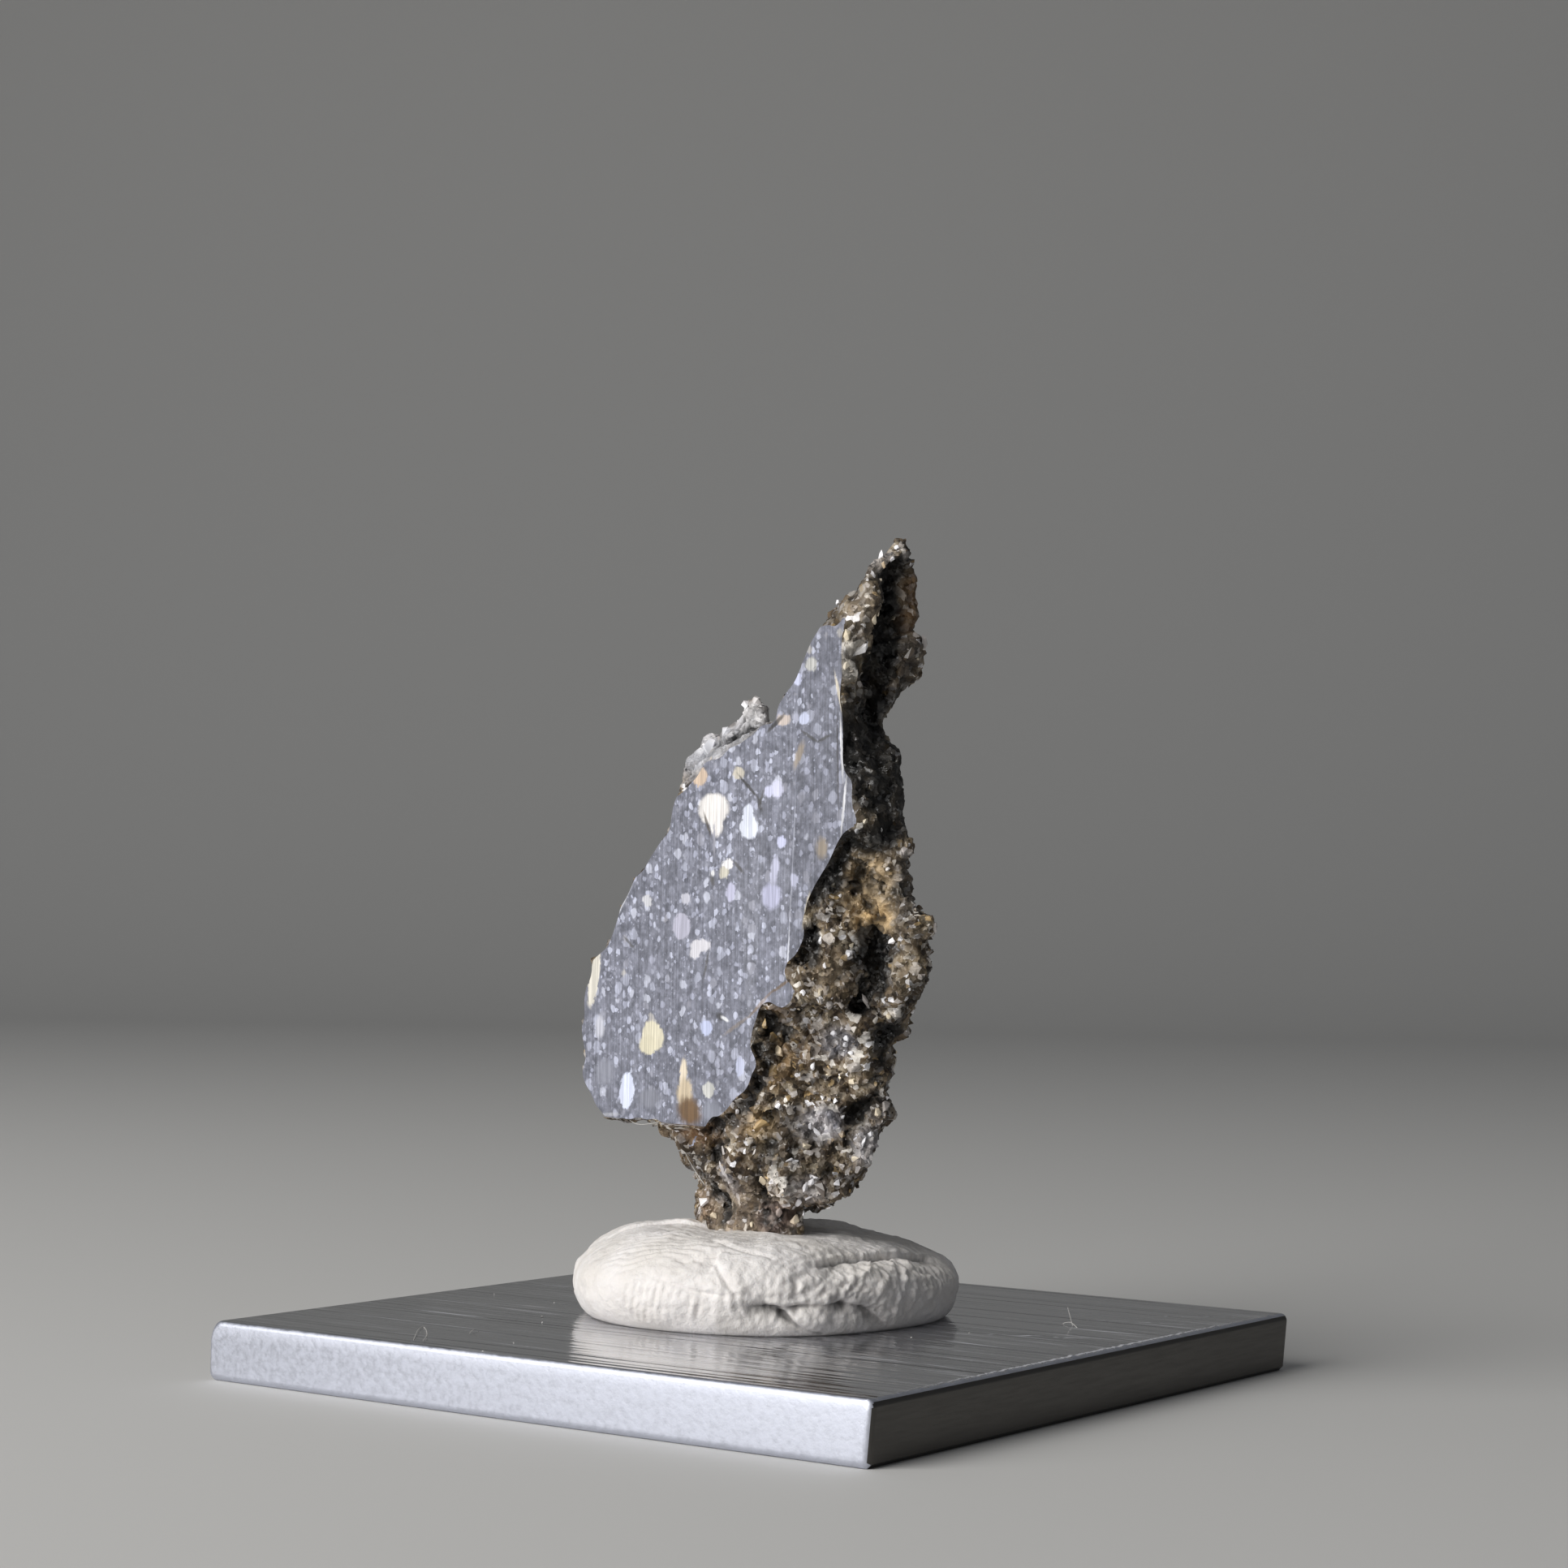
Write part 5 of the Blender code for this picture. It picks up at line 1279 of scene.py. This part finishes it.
def crag():
    """The small peak on the stone's left shoulder."""
    bm = bmesh.new()
    place = Matrix.Translation(Vector(CRAG_PEAK) - Vector((0, 0, CRAG_SIZE[2] / 2)))
    bmesh.ops.create_cone(bm, cap_ends=True, segments=CRAG_SIDES, radius1=1, radius2=CRAG_TIP_SHARE,
                          depth=1, matrix=place @ Matrix.Diagonal((*CRAG_SIZE, 1)))
    return make_object("crag_work", bm)


def prism(name, sections):
    """A closed solid through sections of the same number of points."""
    bm = bmesh.new()
    tube(bm, [[bm.verts.new(point) for point in section] for section in sections])
    bmesh.ops.recalc_face_normals(bm, faces=bm.faces)
    return make_object(name, bm)


def chip_cutter():
    """A wedge that takes the broken shoulder back from the saw face, along the chip line."""
    front = SAW_DEPTH - CHIP_THICKNESS
    back = SAW_DEPTH + CHIP_SLOPE * CHIP_REACH
    sections = []
    for across, height in CHIP_LINE:
        top = height + CHIP_REACH
        profile = [(front, height), (SAW_DEPTH, height), (back, top), (front, top)]
        sections.append([(across, depth, z) for depth, z in profile])
    return prism("chip_work", sections)


def step_across(height):
    """Where the saw's step runs at a height."""
    (low, low_height), (high, high_height) = SAW_STEP_LINE
    return low + (high - low) * (height - low_height) / (high_height - low_height)


def saw_cutter():
    """A block in front of the saw face, with the step that the saw's second pass left."""
    raised = SAW_DEPTH - SAW_STEP_RISE
    sections = []
    for height in (SAW_FOOT, SAW_TOP):
        step = step_across(height)
        profile = [
            (-SAW_REACH, SAW_DEPTH), (step - SAW_STEP_RUN, SAW_DEPTH), (step, raised), (SAW_REACH, raised),
            (SAW_REACH, -SAW_REACH), (-SAW_REACH, -SAW_REACH)]
        sections.append([(across, depth, height) for across, depth in profile])
    return prism("saw_work", sections)


def even_faces(obj):
    """Rebuilds a solid's skin with faces of one size, which also clears places where it runs into itself."""
    remesh = obj.modifiers.new("even faces", "REMESH")
    remesh.mode = "VOXEL"
    remesh.voxel_size = STONE_VOXEL
    apply_modifiers(obj)


def build_stone():
    """The stone as one mesh, in its own directions and in millimetres."""
    count = round((STONE_TOP - STONE_BOTTOM) / RING_STEP)
    rings = []
    for index in range(count + 1):
        height = STONE_BOTTOM + (STONE_TOP - STONE_BOTTOM) * index / count
        rings.append([Vector((across, depth, height)) for across, depth in stone_outline(height)])
    stone = make_object("meteorite_stone", loft(rings))
    combine(stone, crag(), "UNION")
    combine(stone, chip_cutter())
    even_faces(stone)
    relief = shape_crust(stone.data)
    crust_points = read_points(stone.data)
    even_faces(stone)
    combine(stone, saw_cutter())
    mark_sawn_faces(stone.data)
    carry_relief(stone.data, crust_points, relief, roughen_crust(stone.data))
    return stone


def mark_sawn_faces(mesh):
    """Gives the faces on the saw's plane the second material."""
    for item in (weathered_crust(), sawn_breccia()):
        mesh.materials.append(item)
    for face in mesh.polygons:
        across, depth, height = face.center
        step = step_across(height)
        flat = SAW_DEPTH - SAW_STEP_RISE * ease(across, step - SAW_STEP_RUN, step)
        face.material_index = int(face.normal.y < SAWN_FACING and abs(depth - flat) < SAW_STEP_RISE / 2)


def crust_strength(points):
    return np.clip((points[:, 2] - PUTTY_TOP) / RELIEF_FADE, 0, 1)


def shape_crust(mesh):
    """Pushes the crust's lumps, hollows and crevices in, and gives each vertex's relief in millimetres."""
    points = read_points(mesh)
    normals = read_points(mesh, "normal")
    marks = marks_push(points, CRUST_MARKS)
    back = noise_push(points, BACK_RELIEF) * ease(points[:, 1], *BACK_FADE)
    broad = noise_push(points, CRUST_RELIEF) + back
    lines = np.zeros(len(points))
    for line, width, push in CRUST_LINES:
        lines += push * np.exp(-(near_line(points, normals, line)[0] / width) ** 2)
    moved = points + normals * ((marks + lines + broad) * crust_strength(points))[:, None]
    moved[:, 2] = np.minimum(moved[:, 2], STONE_PEAK)
    write_points(mesh, moved)
    return np.minimum(marks, LUMP_LIMIT) * LUMP_SHARE + lines + broad * BROAD_SHARE


def roughen_crust(mesh):
    """Breaks the crust into ridges and crystal faces, away from the saw face, and gives that relief."""
    points = read_points(mesh)
    fine = ridge_push(points, CRUST_RIDGES)
    for cell, lean in CRUST_FACETS:
        fine += facet_push(points, cell, lean)
    fine *= 1 - (1 - SMOOTH_SHARE) * ease(points[:, 2], *SMOOTH_FROM)
    strength = crust_strength(points) * ease(points[:, 1], SAW_DEPTH, SAW_DEPTH + SAW_RIM)
    moved = points + read_points(mesh, "normal") * (fine * strength)[:, None]
    moved[:, 1] = np.maximum(moved[:, 1], np.minimum(points[:, 1], SAW_DEPTH))
    moved[:, 2] = np.minimum(moved[:, 2], STONE_PEAK)
    write_points(mesh, moved)
    return fine


def carry_relief(mesh, uncut_points, relief, fine):
    """Writes two attributes: each vertex's relief, and the share of grains there."""
    tree = kdtree.KDTree(len(uncut_points))
    for index, point in enumerate(uncut_points):
        tree.insert(point, index)
    tree.balance()
    values = fine + [relief[tree.find(vertex.co)[1]] for vertex in mesh.vertices]
    points = read_points(mesh)
    across, depth, height = points.T
    nearest, farthest = GRAIN_DEPTHS
    share = ease(depth, SAW_DEPTH + nearest, SAW_DEPTH + farthest) * ease(height, *GRAIN_HEIGHTS)
    heights, limit, fewer = SHOULDER_GRAINS
    share *= ease(values, *GRAIN_RELIEF) * (1 - fewer * ease(height, *heights) * (across < limit))
    start, end, fewer = WAIST_GRAINS
    share *= 1 - fewer * ease(height, *start) * (1 - ease(height, *end))
    for centre, radii in BARE_PLACES:
        share *= 1 - inside_share(points, centre, radii)
    write_attribute(mesh, "relief", values)
    write_attribute(mesh, "grain_share", share)


def swell(along, away, centre, reach, rise):
    return rise * math.exp(-((along - centre[0]) / reach[0]) ** 2 - ((away - centre[1]) / reach[1]) ** 2)


def fall(distance, depth, power):
    return depth * max(0.0, distance / PUTTY_RADIUS) ** power


def putty_top(along, away):
    """The putty's top height: a raised lip at its full end, a hump behind the foot, and its falls."""
    raised = PUTTY_TOP + swell(along, away, *PUTTY_LIP) + swell(along, away, *PUTTY_HUMP)
    return (raised - fall(along, *PUTTY_THIN_END_FALL) - fall(-along, *PUTTY_FULL_END_FALL)
            - fall(away, *PUTTY_BACK_FALL))


def putty_profile():
    """The putty's section as (radius, height, share of the way up to the top), from the plate to the hub."""
    profile = []
    bulge = PUTTY_RADIUS - PUTTY_FOOT_RADIUS
    for step in range(PUTTY_FOOT_RINGS + 1):
        angle = (step / PUTTY_FOOT_RINGS - 1) * math.pi / 2
        height = PUTTY_WIDEST_HEIGHT + (PUTTY_WIDEST_HEIGHT - PLATE_THICKNESS) * math.sin(angle)
        profile.append((PUTTY_FOOT_RADIUS + bulge * math.cos(angle), height, 0))
    for step in range(1, PUTTY_SHOULDER_RINGS + 1):
        angle = step / PUTTY_SHOULDER_RINGS * math.pi / 2
        radius = PUTTY_RADIUS - PUTTY_SHOULDER * (1 - math.cos(angle))
        profile.append((radius, PUTTY_WIDEST_HEIGHT, math.sin(angle)))
    flat_radius = PUTTY_RADIUS - PUTTY_SHOULDER
    for step in range(1, PUTTY_TOP_RINGS + 1):
        profile.append((flat_radius * (1 - step / PUTTY_HUB_STEP), PUTTY_WIDEST_HEIGHT, 1))
    return profile


def build_putty():
    surface = []
    for radius, height, blend in putty_profile():
        ring = []
        for index in range(PUTTY_SIDES):
            angle = 2 * math.pi * index / PUTTY_SIDES
            wobble = 1 + sum(size * math.sin(waves * angle + start) for waves, size, start in PUTTY_WOBBLE)
            along = radius * wobble * math.cos(angle)
            away = radius * wobble * math.sin(angle)
            ring.append(Vector((along, away, height + (putty_top(along, away) - height) * blend)))
        surface.append(ring)
    putty = make_object("putty_lump", loft(surface))
    knead(putty.data)
    putty.data.transform(placing(PUTTY_CENTRE, PUTTY_FALL_DEGREES))
    return putty


def knead(mesh):
    """Pushes dents, creases, steps, dragged crests and finger prints into the putty."""
    points = read_points(mesh)
    normals = read_points(mesh, "normal")
    push = marks_push(points, PUTTY_MARKS) + noise_push(points, PUTTY_RELIEF)
    for line, width, depth in PUTTY_CREASES:
        push -= depth * np.exp(-(near_line(points, normals, line)[0] / width) ** 2)
    for line, width, height in PUTTY_CRESTS:
        push += height * np.exp(-near_line(points, normals, line)[0] / width)
    for line, height, reach in PUTTY_STEPS:
        distance, side = near_line(points, normals, line)
        push -= height * ease(-side, -PUTTY_STEP_EDGE, PUTTY_STEP_EDGE) * np.exp(-(distance / reach) ** 2)
    for finger_print in PUTTY_PRINTS:
        push += print_push(points, *finger_print)
    for centre, radii, relief in PUTTY_CRUMPLES:
        push += inside_share(points, centre, radii) * ridge_push(points, relief)
    centre, radii, relief = PUTTY_CRUMBS
    push += inside_share(points, centre, radii) * noise_push(points, relief)
    strength = np.clip((points[:, 2] - PLATE_THICKNESS) / RELIEF_FADE, 0, 1)
    write_points(mesh, points + normals * (push * strength)[:, None])
    write_attribute(mesh, "relief", push)


def quarter_turn(steps):
    """Angles from 0 to a right angle."""
    return [step / steps * math.pi / 2 for step in range(steps + 1)]


def plate_section():
    """The plate's section across X: rounded left edge, undercut right edge."""
    half = PLATE_SIDE / 2
    top = PLATE_THICKNESS
    lean = top * math.tan(math.radians(PLATE_UNDERCUT_DEGREES))
    wide, tall = PLATE_LEFT_ROUND
    small = PLATE_CORNER_ROUND
    bevel = small * PLATE_BEVEL_SHARE
    quarter = quarter_turn(PLATE_EDGE_STEPS)
    points = [(-half + wide * (1 - math.sin(t)), top - tall * (1 - math.cos(t))) for t in reversed(quarter)]
    points += [(half - small * (1 - math.sin(t)), top - small * (1 - math.cos(t))) for t in quarter]
    points += [(half - lean, bevel), (half - lean - bevel, 0)]
    points += [(-half + small * (1 - math.sin(t)), small * (1 - math.cos(t))) for t in quarter]
    return points


def plate_stations():
    """Places along the plate's depth with how far its section is drawn in there, for rounded end edges."""
    half = PLATE_SIDE / 2
    small = PLATE_END_ROUND
    front = [(-half + small * (1 - math.sin(t)), small * (1 - math.cos(t)))
             for t in reversed(quarter_turn(PLATE_END_STEPS))]
    middle = [(y, 0.0) for y in np.linspace(-half + small, half - small, PLATE_DEPTH_STEPS + 1)[1:-1]]
    return front + middle + [(-y, inset) for y, inset in reversed(front)]


def burr_height(y):
    swells = (share * noise.noise(Vector((seed, y / size, 0))) for size, share, seed in BURR_SWELLS)
    return max(0.0, BURR_HEIGHT * sum(swells, BURR_BASE))


def build_plate():
    """The plate, swept from front to back, with the saw's burr along the top of its right edge."""
    section = np.array(plate_section())
    middle = section.mean(axis=0)
    half = PLATE_SIDE / 2
    top = PLATE_THICKNESS
    bm = bmesh.new()
    rows = []
    for y, inset in plate_stations():
        scale = 1 - inset / np.array([half, top / 2])
        burr = burr_height(y)
        row = []
        for x, z in middle + (section - middle) * scale:
            ridge = math.exp(-((x - half + BURR_WIDTH) / (BURR_WIDTH / 2)) ** 2)
            row.append(bm.verts.new((x, y, z + burr * ridge * (z > top - PLATE_CORNER_ROUND))))
        rows.append(row)
    tube(bm, rows)
    bmesh.ops.recalc_face_normals(bm, faces=bm.faces)
    for face in bm.faces:
        # 0 is the brushed top and underside, 1 the filed edges and 2 the milled right side
        right_side = face.normal.x > MILLED_FACING
        face.material_index = 2 if right_side else 0 if face.normal.z > BRUSHED_FACING else 1
    plate = make_object("aluminium_plate", bm)
    plate.data.transform(Matrix.Scale(MM, 4))
    return plate


def fibre(bm, points, radius):
    """A thin round hair through the points."""
    spots = [Vector(point) for point in points]
    smooth = []
    for index in range(len(spots) - 1):
        around = [spots[min(max(index + k, 0), len(spots) - 1)] for k in (-1, 0, 1, 2)]
        smooth += [curve_point(*around, step / LINT_STEPS) for step in range(LINT_STEPS)]
    smooth.append(spots[-1])
    rows = []
    for index, spot in enumerate(smooth):
        run = smooth[min(index + 1, len(smooth) - 1)] - smooth[max(index - 1, 0)]
        side = run.cross(LINT_SIDEWAYS).normalized()
        other = run.cross(side).normalized()
        thin = radius * (LINT_END_SHARE if index in (0, len(smooth) - 1) else 1.0)
        angles = [k * math.pi * 2 / LINT_SIDES for k in range(LINT_SIDES)]
        rows.append([bm.verts.new(spot + thin * (side * math.cos(a) + other * math.sin(a))) for a in angles])
    tube(bm, rows)


def build_lint():
    """Hairs and dust that lie on the stone and the plate."""
    rng = np.random.default_rng(DUST_SEED)
    bm = bmesh.new()
    for points in LINT_HAIRS:
        fibre(bm, points, LINT_RADIUS)
    for across, away in DUST_SPECKS:
        size = rng.uniform(*DUST_SIZES)
        corners = chip_points(rng, DUST_CORNERS, size * np.array(DUST_SHAPE))
        place = Vector((across, away, PLATE_THICKNESS + size * DUST_LIFT))
        hull(bm, [place + Vector(corner) for corner in corners])
    to_plate = Matrix.Scale(1 / MM, 4) @ placing(STONE_CENTRE, STONE_TURN_DEGREES)
    for points in STONE_HAIRS:
        fibre(bm, [to_plate @ Vector(point) for point in points], LINT_RADIUS)
    bmesh.ops.recalc_face_normals(bm, faces=bm.faces)
    lint = make_object("lint_and_dust", bm)
    lint.data.transform(Matrix.Scale(MM, 4))
    return lint


def chip_points(rng, count, size):
    """Corners of one broken crystal of the given size."""
    corners = rng.normal(size=(count, 3))
    corners /= np.linalg.norm(corners, axis=1)[:, None]
    return corners * rng.uniform(*CORNER_REACH, size=(count, 1)) * np.array(size) / 2


def hull(bm, points):
    """Adds the convex hull of some points to a mesh, and gives its vertices."""
    verts = [bm.verts.new(point) for point in points]
    bmesh.ops.convex_hull(bm, input=verts)
    inner = [vert for vert in verts if not vert.link_faces]
    bmesh.ops.delete(bm, geom=inner, context="VERTS")
    return [vert for vert in verts if vert.is_valid]


def crystal_chips():
    """A collection of a few broken crystals of unit size, for scattering."""
    rng = np.random.default_rng(CHIP_SEED)
    chips = bpy.data.collections.new("crystal chips")
    for index in range(CHIP_KINDS):
        bm = bmesh.new()
        size = (1.0, rng.uniform(*GRAIN_WIDTHS), rng.uniform(*GRAIN_THICKNESSES))
        hull(bm, chip_points(rng, GRAIN_CORNERS, size))
        mesh = bpy.data.meshes.new(f"crystal_chip_{index}")
        bm.to_mesh(mesh)
        bm.free()
        chips.objects.link(bpy.data.objects.new(mesh.name, mesh))
    return chips


def grain_tree(chips, finish):
    """Geometry nodes that scatter broken crystals over the crust, each of its own turn, size and shade."""
    tree = bpy.data.node_groups.new("crust grains", "GeometryNodeTree")
    tree.interface.new_socket("Geometry", in_out="INPUT", socket_type="NodeSocketGeometry")
    for name in ("Grains per area", "Smallest", "Largest"):
        tree.interface.new_socket(name, in_out="INPUT", socket_type="NodeSocketFloat")
    tree.interface.new_socket("Seed", in_out="INPUT", socket_type="NodeSocketInt")
    tree.interface.new_socket("Geometry", in_out="OUTPUT", socket_type="NodeSocketGeometry")
    given = tree.nodes.new("NodeGroupInput").outputs
    share = add(tree, "GeometryNodeInputNamedAttribute", {"data_type": "FLOAT"}, {
        "Name": "grain_share"}, "Attribute")
    density = calculate(tree, "MULTIPLY", share, given["Grains per area"])
    spots = add(tree, "GeometryNodeDistributePointsOnFaces", inputs={
        "Mesh": given["Geometry"], "Density": density, "Seed": given["Seed"]}, output="Points")
    kinds = add(tree, "GeometryNodeCollectionInfo", inputs={
        "Collection": chips, "Separate Children": True, "Reset Children": True})
    turn = add(tree, "FunctionNodeRandomValue", {"data_type": "FLOAT_VECTOR"}, {
        0: (0, 0, 0), 1: (2 * math.pi,) * 3, "Seed": 1})
    chance = add(tree, "FunctionNodeRandomValue", {"data_type": "FLOAT"}, {"Seed": 2}, 1)
    skewed = calculate(tree, "POWER", chance, GRAIN_SKEW)
    size = add(tree, "ShaderNodeMapRange", inputs={
        "Value": skewed, "To Min": given["Smallest"], "To Max": given["Largest"]})
    grains = add(tree, "GeometryNodeInstanceOnPoints", inputs={
        "Points": spots, "Instance": kinds, "Pick Instance": True, "Rotation": turn, "Scale": size})
    shade = add(tree, "FunctionNodeRandomValue", {"data_type": "FLOAT"}, {"Seed": 3}, 1)
    shaded = add(tree, "GeometryNodeStoreNamedAttribute", {"data_type": "FLOAT", "domain": "INSTANCE"}, {
        "Geometry": grains, "Name": "grain_shade", "Value": shade})
    real = add(tree, "GeometryNodeRealizeInstances", inputs={"Geometry": shaded})
    dressed = add(tree, "GeometryNodeSetMaterial", inputs={"Geometry": real, "Material": finish})
    tree.links.new(dressed, tree.nodes.new("NodeGroupOutput").inputs["Geometry"])
    return tree


def build_grains(stone, finish):
    """Broken crystals half sunk in the crust, as one mesh in the stone's directions."""
    grains = stone.copy()
    grains.data = stone.data.copy()
    grains.name = "crust_grains"
    bpy.context.scene.collection.objects.link(grains)
    tree = grain_tree(crystal_chips(), finish)
    sockets = {item.name: item.identifier for item in tree.interface.items_tree}
    scatter = grains.modifiers.new("grains", "NODES")
    scatter.node_group = tree
    scatter[sockets["Grains per area"]] = GRAINS_PER_AREA
    scatter[sockets["Smallest"]], scatter[sockets["Largest"]] = GRAIN_SIZES
    scatter[sockets["Seed"]] = GRAIN_SEED
    apply_modifiers(grains)
    points = read_points(grains.data)
    points[:, 1] = np.maximum(points[:, 1], SAW_DEPTH)
    points[:, 2] = np.minimum(points[:, 2], STONE_PEAK)
    write_points(grains.data, points)
    return grains


def build_shards(stone):
    """The larger crystals that stand out, each sunk into the nearest spot of the crust."""
    rng = np.random.default_rng(CRYSTAL_SEED)
    surface = BVHTree.FromPolygons([vertex.co for vertex in stone.data.vertices],
                                   [tuple(face.vertices) for face in stone.data.polygons])
    bm = bmesh.new()
    shade_layer = bm.verts.layers.float.new("grain_shade")
    relief_layer = bm.verts.layers.float.new("relief")
    for place, (length, width), tilt, shade in CRYSTALS:
        spot, normal = surface.find_nearest(Vector(place))[:2]
        upward = (UP - normal * normal.z).normalized()
        along = Matrix.Rotation(math.radians(-tilt), 3, normal) @ upward
        turn = Matrix((along, normal.cross(along), normal)).transposed()
        size = np.multiply(CRYSTAL_GROWTH, (length, width, width))
        corners = chip_points(rng, CRYSTAL_CORNERS, size)
        sunk = spot + normal * width * CRYSTAL_LIFT
        for vert in hull(bm, [sunk + turn @ Vector(corner) for corner in corners]):
            vert[shade_layer] = SHADES[shade]
            vert[relief_layer] = CRYSTAL_RELIEF
            vert.co.y = max(vert.co.y, SAW_DEPTH)
    return make_object("crust_crystals", bm)


def build_camera():
    data = bpy.data.cameras.new("camera")
    data.lens = CAMERA_LENS
    data.sensor_width = CAMERA_SENSOR
    data.clip_start = CAMERA_NEAREST
    camera = bpy.data.objects.new("camera", data)
    matrix = Matrix((CAMERA_RIGHT, CAMERA_UP, CAMERA_BACK)).transposed().to_4x4()
    matrix.translation = CAMERA_PLACE
    camera.matrix_world = matrix
    bpy.context.scene.collection.objects.link(camera)
    bpy.context.scene.camera = camera


def add_light(name, place, target, size, power, tint):
    data = bpy.data.lights.new(name, "AREA")
    data.shape = "RECTANGLE"
    data.size, data.size_y = size
    data.energy = power
    data.color = tint
    light = bpy.data.objects.new(name, data)
    light.location = place
    light.rotation_euler = (Vector(target) - Vector(place)).to_track_quat("-Z", "Y").to_euler()
    bpy.context.scene.collection.objects.link(light)


def build_studio():
    """A pale floor that sweeps up behind the object, one large soft light, and weak light from all round."""
    bm = bmesh.new()
    away = Vector((-CAMERA_BACK[0], -CAMERA_BACK[1], 0)).normalized()
    across = Vector((away.y, -away.x, 0))
    profile = [(FLOOR_NEAR, 0.0), (FLOOR_BEND, 0.0)]
    for angle in quarter_turn(FLOOR_STEPS)[1:]:
        profile.append((FLOOR_BEND + FLOOR_RADIUS * math.sin(angle), FLOOR_RADIUS * (1 - math.cos(angle))))
    profile.append((FLOOR_BEND + FLOOR_RADIUS, FLOOR_TOP))
    sides = (-FLOOR_HALF_WIDTH, FLOOR_HALF_WIDTH)
    rows = [[bm.verts.new(away * reach + across * side + UP * height) for side in sides]
            for reach, height in profile]
    for first, second in zip(rows, rows[1:]):
        bm.faces.new((first[0], first[1], second[1], second[0]))
    floor = make_object("studio_floor", bm)
    floor.data.materials.append(plain_paint("pale_studio_paper", "#c9c8c5", 0.8))
    floor.data.shade_smooth()
    add_light("key", KEY_PLACE, LIGHT_TARGET, KEY_SIZE, KEY_POWER, KEY_TINT)
    bpy.context.scene.view_settings.view_transform = "Standard"
    world = bpy.data.worlds.new("studio")
    world.use_nodes = True
    background = world.node_tree.nodes["Background"].inputs
    background["Color"].default_value = hex_colour("#dfe3ea")
    background["Strength"].default_value = WORLD_STRENGTH
    bpy.context.scene.world = world


def main():
    build_camera()
    build_studio()
    stone = build_stone()
    grain_finish = crystal_grains()
    grains = build_grains(stone, grain_finish)
    crystals = build_shards(stone)
    for piece in (stone, grains, crystals):
        piece.data.transform(placing(STONE_CENTRE, STONE_TURN_DEGREES))
    finish_piece(stone, "meteorite", sharp_degrees=STONE_SHARP_DEGREES)
    finish_piece(grains)
    finish_piece(crystals, materials=[grain_finish])
    finish_piece(build_putty(), "mounting_putty", PUTTY_SHARP_DEGREES, [mounting_putty()])
    finish_piece(build_plate(), "base_plate", PLATE_SHARP_DEGREES,
                 [brushed_aluminium(), filed_aluminium(), milled_aluminium()])
    lint_finish = plain_paint("grey_cotton_lint", "#b9b7b2", 0.8)
    finish_piece(build_lint(), materials=[lint_finish])


main()
